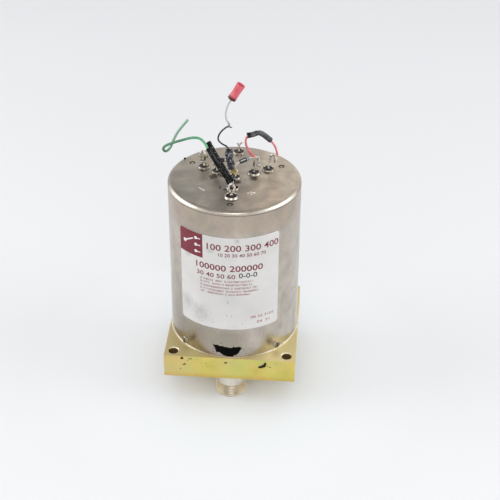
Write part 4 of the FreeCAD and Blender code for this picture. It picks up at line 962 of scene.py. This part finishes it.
def smallPrint(left, right, middle, height, seed):
    # A line of tiny numerals in groups, drawn at random once.
    chance = random.Random(seed)
    count = round((right - left) / (height * 0.82))
    text = "".join(" " if chance.random() < 0.17 else str(chance.randrange(10)) for _ in range(count))
    return digits2d("0" + text[1:-1] + "1", left, right, middle, height, 0.03)


def jagged(outline, rough, seed):
    # Breaks each side into short uneven steps.
    chance = random.Random(seed)
    made = []
    for (x, y), (nextX, nextY) in zip(outline, outline[1:] + outline[:1]):
        for share in (0, 0.25, 0.5, 0.75):
            made.append((x + (nextX - x) * share + chance.uniform(-rough, rough),
                         y + (nextY - y) * share + chance.uniform(-rough, rough)))
    return made


def printed(name, surface, material, outlines=(), lettering=(), rise=0.0, thickness=0.02):
    # Thin closed ink from flat shapes in mm, wrapped round the can by arc length or laid on its top.
    slot, radius = surfaces[surface]
    sheet = bmesh.new()
    for outline in outlines:
        sheet.faces.new([sheet.verts.new((x, y, 0)) for x, y in outline])
    for verts, faces in lettering:
        made = [sheet.verts.new((x, y, 0)) for x, y in verts]
        for face in faces:
            sheet.faces.new([made[corner] for corner in face])
    bmesh.ops.remove_doubles(sheet, verts=sheet.verts, dist=1e-4)
    bmesh.ops.triangulate(sheet, faces=sheet.faces)
    spot = min(vert.co.x for vert in sheet.verts) + labelPrint["facet"]
    high = max(vert.co.x for vert in sheet.verts)
    while radius and spot < high:
        everything = sheet.verts[:] + sheet.edges[:] + sheet.faces[:]
        bmesh.ops.bisect_plane(sheet, geom=everything, plane_co=(spot, 0, 0), plane_no=(1, 0, 0))
        spot += labelPrint["facet"]
    for face in sheet.faces:
        if face.normal.z < 0:
            face.normal_flip()
    raised = bmesh.ops.extrude_face_region(sheet, geom=sheet.faces[:], use_keep_orig=True)
    for item in raised["geom"]:
        if isinstance(item, bmesh.types.BMVert):
            item.co.z += thickness
    for vert in sheet.verts:
        x, y, z = vert.co
        if radius:
            angle = x / (radius + rise)
            out = radius + rise + z
            vert.co = Vector((out * math.sin(angle), -out * math.cos(angle), y)) * mm
        else:
            vert.co = Vector((x, y, canTop - 0.005 + z)) * mm
    bmesh.ops.recalc_face_normals(sheet, faces=sheet.faces)
    mesh = bpy.data.meshes.new(name)
    sheet.to_mesh(mesh)
    sheet.free()
    addPiece(name, mesh, material, slot)


left, bottom, right, top = labelPrint["block"]
corner = labelPrint["blockCorner"]
steps = [math.radians(15 * i) for i in range(7)]
block = [(left, bottom), (right, bottom), (right, top)]
block += [(left + corner * (1 - math.sin(step)), top - corner * (1 - math.cos(step))) for step in steps]
printed("label_block", "label", maroonInk, [block])
ports = (96.6, 92.9, 89.2)  # a switch arm and its three ports
motif = [disc2d(-23.6, 92.9, 1.0), bar2d((-23.6, 92.9), (-18.4, 95.9), 0.7)]
motif += [disc2d(-16.8, port, 0.85) for port in ports]
motif += [bar2d((-16.4, port), (-14.3, port), 0.5) for port in ports]
for i, shape in enumerate(motif):
    rise = labelPrint["motifRise"] + labelPrint["motifStep"] * i
    printed(f"label_motif_{i}", "label", whiteInk, [shape], rise=rise)
for name, (colour, rows) in labelPrint["text"].items():
    printed(name, "label", colour, lettering=[
        digits2d(text, start * labelArc, end * labelArc, *sizes) for text, start, end, *sizes in rows])
printed("label_lines", "label", paleInk, lettering=[
    smallPrint(start * labelArc, end * labelArc, level, 1.15 if level > 60 else 1.5, i)
    for i, (start, end, level) in enumerate(labelPrint["lines"])])
specks = [disc2d(bearing * labelArc, level, 0.28, 7) for bearing, level in labelPrint["specks"]]
printed("label_specks", "label", greyInk, specks)

printed("top_numerals", "top", markInk, lettering=[
    digits2d(text, x - half, x + half, y, 2.8, -0.005) for text, x, y, half in canMarks["numerals"]])
strokes = [bar2d(start, end, 0.54 if start[0] < 0 else 0.8)
           for line in canMarks["scratches"] for start, end in zip(line, line[1:])]
for i, stroke in enumerate(strokes):
    printed(f"top_scratch_{i}", "top", chalk, [stroke], thickness=0.02 + 0.002 * i)
patch = jagged([(bearing * canArc, level) for bearing, level in canMarks["tar"]], 0.25, 4)
printed("tar_patch", "side", tar, [patch], thickness=0.05)
flakes = []
for i, (bearing, level) in enumerate(canMarks["flakes"]):
    outline = [(bearing * canArc + 0.2 * math.cos(angle), level + 0.26 * math.sin(angle))
               for angle in (5.1, 3.8, 2.5, 1.2, 0)]
    flakes.append(jagged(outline, 0.07, i))
printed("tar_flakes", "side", tar, flakes, thickness=0.05)
addPiece("tar_crumb", lumpMesh(50, *canMarks["crumb"]), tar, "can_nickel")
print("label printed")


# ---- can: drawn steel, dull nickel plated ----

canFinish = {
    "top": ["#968D82", "#AAA195", "#BEB5A8"], "side": ["#B8AFA4", "#C7BEB3", "#D3CCC1"],
    "paintedLitTop": "#E4D3BC", "warmSide": "#B4A493", "lowSide": "#A99E91", "tints": ("#A0928F", "#949A88"),
    "shadeAndStain": "#3A2D21", "dimpleRing": "#54463A", "corner": "#FFF8EC", "edge": "#4E463C", "edgeHeight": 111.72,
    "topRoughness": (0.3, 0.42), "sideRoughness": (0.2, 0.34),
    "shadeAndStains": [  # x, y and radius: painted shade under the rings, with brown stains, beside the terminals
        (9.3, 0.1, 2.1), (-10.4, 0.0, 2.2), (-9.6, 2.6, 1.8), (0.2, -21.4, 2.0), (-16.2, 6.0, 1.6),
        (15.4, 5.8, 1.4), (-3.6, -12.0, 0.9), (2.2, -4.4, 1.6), (-6.4, 0.6, 1.3),
    ],
    "dimples": [(0.0, -25.4, 1.35), (-22.0, 12.7, 1.35), (22.0, 12.7, 1.35)],
}
nickel, tree, place = newMaterial("dullNickelPlate")  # pewter-like, cloudy top, side drawn in upright streaks
x, y, z = addNode(tree, "SeparateXYZ", {0: place}, slice(3))
normalZ = addNode(tree, "SeparateXYZ", {0: addNode(tree, "NewGeometry", out="Normal")}, "Z")
upward = fade((normalZ, 0.55, 0.95))
# Low on the front and left the side is painted darker: painted shade, the shadowed floor and plate reflected.
side = layered(
    addNode(tree, "ValToRGB", {0: cloud(place, 9, 1.5, (1, 1, 0.1))}, stops=evenStops(canFinish["side"])),
    (fade((z, 0.097, 0.104, 0.0, 0.75)), canFinish["warmSide"]),
    (fade((z, 0.053, 0.043), (x, 0.013, 0.004), (y, -0.006, -0.02)), canFinish["lowSide"]))
# Painted light: the top is painted lighter towards the right and the rear, where more light falls.
right, rear = fade((x, -0.002, 0.015)), fade((y, 0.0, 0.014, 0.0, 0.4))
warm = addNode(tree, "Math", {0: right, 1: rear}, operation="MAXIMUM")
top = layered(
    addNode(tree, "ValToRGB", {0: cloud(place, 10, 6)}, stops=evenStops(canFinish["top"])),
    (fade((warm, 0.0, 1.0), (cloud(place, 7), 0.35, 0.65, 0.7, 1.0)), canFinish["paintedLitTop"]))
# Dark spots beside the terminals: painted shade under the rings, with brown stains.
shadeAndStains = [(across, along, canTop, radius) for across, along, radius in canFinish["shadeAndStains"]]
dimples = [(across, along, canTop - 0.1, radius) for across, along, radius in canFinish["dimples"]]
dark, clean = spotMask(place, dimples, 1.0, 1.25, 0.1), spotMask(place, dimples, 0.35, 0.7, 0.1)
ring = addNode(tree, "Math", {0: dark, 1: clean}, operation="SUBTRACT", use_clamp=True)
# The rounded corner is painted bright as a highlight, most of all to the left and right.
flank = addNode(tree, "Math", {0: x}, operation="ABSOLUTE")
corner = fade((z, 0.1119, 0.1125), (normalZ, 0.97, 0.8), (flank, 0.01, 0.024, 0.25, 1.0),
              (y, -0.008, -0.016))
edge = addNode(tree, "Math", {0: z, 1: canFinish["edgeHeight"] * mm}, operation="SUBTRACT")
edge = addNode(tree, "Math", {0: edge}, operation="ABSOLUTE")
tone = layered(
    side, (upward, top),
    (fade((cloud(place, 6), 0.4, 0.7, 0.0, 0.4)), canFinish["tints"][0]),
    (fade((cloud(place, 7, 3, (1, -1, 0.7)), 0.45, 0.7, 0.0, 0.35)), canFinish["tints"][1]),
    (spotMask(place, shadeAndStains, 0.55, 1.25, 0.25, share=0.8), canFinish["shadeAndStain"]),
    (ring, canFinish["dimpleRing"]), (corner, canFinish["corner"]),
    (fade((edge, 0.1 * mm, 0.32 * mm, 0.6, 0.0)), canFinish["edge"]))
sideRough = fade((cloud(place, 3, 2, (1, 1, 0.15)), 0.3, 0.7, *canFinish["sideRoughness"]))
topRough = fade((cloud(place, 6, 4), 0.3, 0.7, *canFinish["topRoughness"]))
rough = addNode(tree, "Mix", {0: upward, 2: sideRough, 3: topRough}, data_type="FLOAT")
plug(tree, {"Base Color": tone, "Roughness": rough, "Metallic": 1}, cloud(place, 5, 1), 0.006)
setMaterial(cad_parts["can"], nickel)


# ---- plate: yellow chromate over milled aluminium ----

plateFinish = {
    "gold": ["#CCBE5C", "#DAC86A", "#E6D07A"], "green": "#C3CB72", "pink": "#DDB08A", "orange": "#CC9C4C",
    "top": ("#CDBD8C", "#F0DDA8"), "pit": "#14100A", "chamfer": "#FFF6D2", "bore": "#8F7034",
    "roughness": (0.3, 0.46), "metallic": (0.72, 0.45), "front": -33.02, "hole": 28.575,
    "pits": [  # x, z and radius on the front: bare pits in the film
        (-23.85, 27.05, 0.8), (-19.2, 26.91, 0.4), (-20.3, 26.7, 0.35), (-22.47, 23.28, 0.55),
        (-23.2, 23.0, 0.4), (-24.69, 20.15, 0.3), (-2.05, 25.3, 0.5), (-1.3, 25.6, 0.42),
        (-11.66, 24.33, 0.25), (-11.18, 22.42, 0.22), (-14.0, 24.6, 0.22), (20.62, 23.94, 0.36),
        (23.49, 26.38, 0.22), (15.3, 23.7, 0.7), (16.4, 24.0, 0.9), (17.4, 24.6, 1.1),
        (18.05, 25.6, 0.9), (18.15, 26.4, 0.65), (19.4, 24.3, 0.28), (-21.0, 25.6, 0.22), (-16.2, 26.8, 0.2),
    ],
}
chromate, tree, place = newMaterial("yellowChromate")  # gold film with green and pink interference clouds
x, y, z = addNode(tree, "SeparateXYZ", {0: place}, slice(3))
normalZ = addNode(tree, "SeparateXYZ", {0: addNode(tree, "NewGeometry", out="Normal")}, "Z")
green = fade((cloud(place, 15, 2), 0.42, 0.68, 0.0, 0.85))
patches = fade((cloud(place, 12, 2, (1, 1.3, -1)), 0.45, 0.72, 0.0, 0.225))
pink = addNode(tree, "Math", {0: fade((x, -0.034, -0.012, 0.45, 0.0)), 1: patches}, operation="ADD")
# Painted light: the top faces are painted paler, darker to the left and lighter to the right, and made less
# metallic so that they show brighter.
top = layered(plateFinish["top"][0], (fade((x, -0.02, 0.022)), plateFinish["top"][1]))
pits = [(across, plateFinish["front"], up, radius) for across, up, radius in plateFinish["pits"]]
# All four corner holes are alike: distances are taken in one quarter of the plate.
quarter = addNode(tree, "VectorMath", {0: place}, operation="ABSOLUTE")
quarter = addNode(tree, "VectorMath", {0: quarter, 1: (1, 1, 0)}, operation="MULTIPLY")
hole = Vector((1, 1, 0)) * plateFinish["hole"] * mm
away = addNode(tree, "VectorMath", {0: quarter, 1: tuple(hole)}, "Value", operation="DISTANCE")
outward = addNode(tree, "VectorMath", {0: quarter, 1: (1, 1, 0)}, "Value", operation="DOT_PRODUCT")
tone = layered(
    addNode(tree, "ValToRGB", {0: cloud(place, 10)}, stops=evenStops(plateFinish["gold"])),
    (green, plateFinish["green"]), (pink, plateFinish["pink"]),
    (fade((z, 15.5 * mm, 18.5 * mm, 0.55, 0.0)), plateFinish["orange"]),
    (fade((normalZ, 0.6, 0.9, 0.0, 0.8)), top),
    (spotMask(place, pits, 0.8, 1.1, 0.45, 0.5), plateFinish["pit"]),
    # Painted highlight on the chamfer round each corner hole.
    (fade((away, 2.8 * mm, 3.1 * mm, 0.9, 0.0), (outward, 58.6 * mm, 56.0 * mm, 0.1, 1.0)),
     plateFinish["chamfer"]),  # brightest on the side towards the can
    # Painted shade on the wall inside each corner hole.
    (fade((away, 2.42 * mm, 2.5 * mm, 0.85, 0.0)), plateFinish["bore"]))
rough = fade((cloud(place, 1.2, 4), 0.3, 0.7, *plateFinish["roughness"]))
metal = fade((normalZ, 0.6, 0.9, *plateFinish["metallic"]))
plug(tree, {"Base Color": tone, "Roughness": rough, "Metallic": metal}, cloud(place, 0.9), 0.008)
setMaterial(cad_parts["base_block"], chromate)


# ---- label film ----

labelFinish = {
    "tones": ["#D0CFCC", "#D7D5D2", "#DDDBD8"], "smudge": "#A8A8A7", "roughness": (0.38, 0.55), "coat": 0.1,
    "smudges": [  # x, y, z and radius, mm
        (-20.6, -24.8, 57.5, 4.5), (-14.0, -29.2, 53.5, 6.0), (-20.2, -25.2, 86.0, 2.5),
        (-9.0, -31.4, 91.8, 2.2), (3.9, -32.4, 98.2, 1.6),
    ],
}
film, tree, place = newMaterial("labelFilm")  # satin polyester film: warm white, thumbed grey in places
smudged = spotMask(place, labelFinish["smudges"], 0.25, 1.2, 0.3)
smudged = addNode(tree, "Math", {0: smudged, 1: cloud(place, 2.5)}, operation="MULTIPLY")
tone = addNode(tree, "ValToRGB", {0: cloud(place, 12)}, stops=evenStops(labelFinish["tones"]))
plug(tree, {"Base Color": layered(tone, (smudged, labelFinish["smudge"])),
            "Roughness": fade((cloud(place, 1.5), 0.3, 0.7, *labelFinish["roughness"])),
            "Coat Weight": labelFinish["coat"]}, cloud(place, 3.0, 2), 0.01)
setMaterial(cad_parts["label"], film)


# ---- can's rolled lip and its slotted screws ----

canTrim = {
    "lip": [  # radius and height, mm
        (32.3, 28.2), (32.86, 28.2), (33.0, 28.42), (32.98, 28.78), (32.84, 29.02), (32.62, 29.14),
        (32.3, 29.16),
    ],
    "bearings": (45, 135, 225, 315), "screwHeight": 31.15, "screwSeat": 32.44, "tilt": 10,
    "headRadius": 1.85, "headHeight": 1.05, "slot": 0.62, "slotDepth": 0.6, "shankRadius": 1.05,
    "shankLength": 5.0, "frontShade": "#A8906A", "recessDark": "#2E2A20",
}
lipLook = makeFinish("rolledNickelLip", {  # rolled edge: painted creamy as a highlight on the nickel
    "colours": ["#D8CFB6", "#EAE1CA", "#F7F1E2"], "mottle": 3.0, "grain": 0.5,
    "roughness": (0.22, 0.38), "relief": 0.02, "metallic": 0.5,
})
# Painted shade: the lip is darkened along the can's front, where it meets the plate.
scorched(lipLook, (0, -33, 28.7), 11, 20, 0.75, canTrim["frontShade"])  # where the can's front meets the plate
lip = turned(canTrim["lip"], standAt((0, 0, 0)), 144, ends="joined")
addPiece("can_rolled_lip", lip, lipLook, "can_nickel")
screwBright = makeFinish("screwRim", {  # nickel on the rim and down in the slot: painted creamy bright as a highlight
    "colours": ["#A89F88", "#C9C0AA", "#E8E0CC"], "mottle": 1.0, "grain": 0.3,
    "roughness": (0.2, 0.36), "relief": 0.02, "metallic": 0.6,
})
screwDark = makeFinish("screwFace", {  # plated face: painted dark greyish green as shade
    "colours": ["#5C5947", "#7F7A65", "#A7A18B"], "mottle": 0.8, "grain": 0.25,
    "roughness": (0.3, 0.5), "relief": 0.03, "metallic": 0.5,
})
slotFloor = canTrim["headHeight"] - canTrim["slotDepth"]
bodies, halves = [], []
for bearing in (math.radians(degrees) for degrees in canTrim["bearings"]):
    turn = math.radians(canTrim["tilt"])
    outward, upright = polar(bearing), Vector((0, 0, 1))
    sideways = upright.cross(outward)
    stand = standAt(outward * canTrim["screwSeat"] + upright * canTrim["screwHeight"],
                    sideways * math.cos(turn) + upright * math.sin(turn),
                    upright * math.cos(turn) - sideways * math.sin(turn), outward)
    shank, head = canTrim["shankRadius"], canTrim["headRadius"]
    profile = [(0.0, -canTrim["shankLength"]), (shank, -canTrim["shankLength"]), (shank, -0.2), (head, -0.2),
               (head, 0.78), (head - 0.14, 0.92), (head - 0.22, slotFloor), (0.0, slotFloor)]
    bodies.append(turned(profile, stand, 32))
    radius = head - 0.2
    start = math.asin(canTrim["slot"] / 2 / radius)
    angles = [start + (math.pi - 2 * start) * i / 14 for i in range(15)]
    for side in (-radius, radius):  # the half of the face on each side of the slot
        rim = [(side * math.sin(angle), radius * math.cos(angle)) for angle in angles]
        halves.append(skin([[stand @ Vector((*point, height)) * mm for point in rim]
                            for height in (slotFloor - 0.1, canTrim["headHeight"])], "capped"))
    # Painted shade in the slot and round the face.
    scorched(screwBright, polar(bearing, 33.1, canTrim["screwHeight"]), 1.3, 1.6, 0.9, canTrim["recessDark"])
addPiece("screw_bodies", merged(bodies), screwBright, "screw_steel", "can_screws")
addPiece("screw_faces", merged(halves), screwDark, "screw_steel")
print("can trimmed")

families = [  # material, its look, and how the names of its nodes start
    ("ptfe", {  # skived PTFE: waxy bright white
        "colours": ["#DCDCD8", "#E8E8E4", "#F0F0EC"], "mottle": 3, "grain": 0.4,
        "roughness": (0.3, 0.45), "relief": 0.01}, ("jack_bead",)),
    ("goldPlate", {  # gold over beryllium copper: deep yellow, soft shine
        "colours": ["#C79A3C", "#D9AF52", "#E3BE6A"], "mottle": 2, "grain": 0.25,
        "roughness": (0.16, 0.32), "relief": 0.01, "metallic": 1},
     ("jack_contact", "reed", "indicator_contacts")),
    ("turnedAluminium", {  # plain milled aluminium: pale with fine tool marks
        "colours": ["#A9ABAD", "#BEC0C1", "#D0D1D2"], "mottle": 4, "grain": 0.3,
        "roughness": (0.25, 0.42), "relief": 0.015, "metallic": 1},
     ("cavity_cover", "solenoid_deck", "solenoid_end_caps")),
    ("platedSteel", {  # zinc-plated steel: bluish grey, slightly hazed
        "colours": ["#8F9396", "#A6AAAC", "#BFC2C3"], "mottle": 2.5, "grain": 0.3,
        "roughness": (0.24, 0.42), "relief": 0.015, "metallic": 1},
     ("cover_screws", "deck_standoffs", "board", "solenoid_cases", "solenoid_nuts", "plunger",
      "return_spring")),
    ("polyetherimide", {  # amber polyetherimide: translucent-looking honey plastic
        "colours": ["#A8661C", "#B97424", "#C98534"], "mottle": 3, "grain": 0.3,
        "roughness": (0.22, 0.36), "relief": 0.01, "coat": 0.3}, ("pushrod", "solenoid_bobbins")),
    ("enamelledCopper", {  # enamelled copper winding: reddish, lacquered, with fine turns
        "colours": ["#7E3B1C", "#9A4A24", "#B35C30"], "mottle": 2, "grain": 0.3, "stretch": (0.1, 0.1, 3),
        "roughness": (0.2, 0.36), "relief": 0.05, "metallic": 0.8}, ("solenoid_coils",)),
    ("glassEpoxyBoard", {  # glass-epoxy board: yellow green with a faint weave
        "colours": ["#7C8A3E", "#8B9748", "#9CA65A"], "mottle": 1.5, "grain": 0.4,
        "roughness": (0.35, 0.5), "relief": 0.02}, ("indicator_board",)),
    ("springBronze", {  # rolled phosphor bronze: coppery with a brushed grain
        "colours": ["#A87B4A", "#BC8D58", "#CB9F6B"], "mottle": 2, "grain": 0.2,
        "roughness": (0.22, 0.38), "relief": 0.01, "metallic": 1}, ("indicator_blade", "blade_brackets")),
    ("hookupWire", {  # PTFE hook-up wire: white, slightly yellowed
        "colours": ["#CFCBBE", "#DDD9CC", "#E8E5DA"], "mottle": 2, "grain": 0.3,
        "roughness": (0.3, 0.45), "relief": 0.01}, ("harness_wires",)),
]
for name, look, starts in families:
    material = makeFinish(name, look)
    for node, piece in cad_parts.items():
        if node.startswith(starts):
            setMaterial(piece, material)
print("finishes set")


# ---- floor, light and sky ----

studio = {
    "floor": ("#EFEFF0", "#F3F3F4"), "nearFloor": "#F6FBFF", "horizon": "#EBECEE", "ceiling": "#6B6660",
    "ambient": 0.86, "target": (0, 0, 0.08),
    "lights": {  # place, width, height and watts
        "left": ((-0.85, -0.1, 0.42), 0.6, 0.5, 2.2), "right": ((0.85, -0.1, 0.42), 0.6, 0.5, 2.2),
        "front": ((0.05, -0.85, 0.75), 0.5, 0.3, 1.5), "overhead": ((0.0, 0.1, 1.0), 0.9, 0.9, 0.8),
    },
}
floorLook, tree, place = newMaterial("studioPaper")
tone = addNode(tree, "TexNoise", {"Vector": place, "Scale": 1.5, "Detail": 2})
paper = addNode(tree, "ValToRGB", {0: tone}, stops=evenStops(studio["floor"]))
# A trace of blue under the part takes out the warm light that its plate throws down.
around = addNode(tree, "VectorMath", {0: place}, "Value", operation="LENGTH")
near = fade((around, 0.03, 0.11, 0.9, 0.0))
plug(tree, {"Base Color": layered(paper, (near, studio["nearFloor"])), "Roughness": 0.9})
floorMesh = bpy.data.meshes.new("floor")
floorMesh.from_pydata([(-4, -4, 0), (4, -4, 0), (4, 4, 0), (-4, 4, 0)], [], [(0, 1, 2, 3)])
floor = placed("studio_floor", floorMesh)
setMaterial(floor, floorLook)

world = bpy.data.worlds.new("softSky")
bpy.context.scene.world = world
world.use_nodes = True
tree = world.node_tree
seen = 0.0
for ray in ("Camera", "Glossy", "Transmission"):
    kind = addNode(tree, "LightPath", out=f"Is {ray} Ray")
    seen = addNode(tree, "Math", {0: seen, 1: kind}, operation="ADD", use_clamp=True)
# A pale surround under a dim ceiling, so that upright metal shines and level metal stays grey.
rise = addNode(tree, "SeparateXYZ", {0: addNode(tree, "TexCoord", out="Generated")}, "Z")
dome = addNode(tree, "ValToRGB", {0: rise}, stops=[(0.52, studio["horizon"]), (0.9, studio["ceiling"])])
feed(tree, tree.nodes["Background"], {0: layered(studio["horizon"], (seen, dome)),
                                      1: fade((seen, 0.0, 1.0, studio["ambient"], 1.0))})

for name, (place, width, height, power) in studio["lights"].items():
    lamp = placed(name + "Light", bpy.data.lights.new(name + "Light", "AREA"))
    lamp.data.shape = "RECTANGLE"
    lamp.data.size, lamp.data.size_y = width, height
    lamp.data.energy = power
    lamp.location = place
    lamp.rotation_euler = (Vector(studio["target"]) - Vector(place)).to_track_quat("-Z", "Y").to_euler()
print("studio lit")
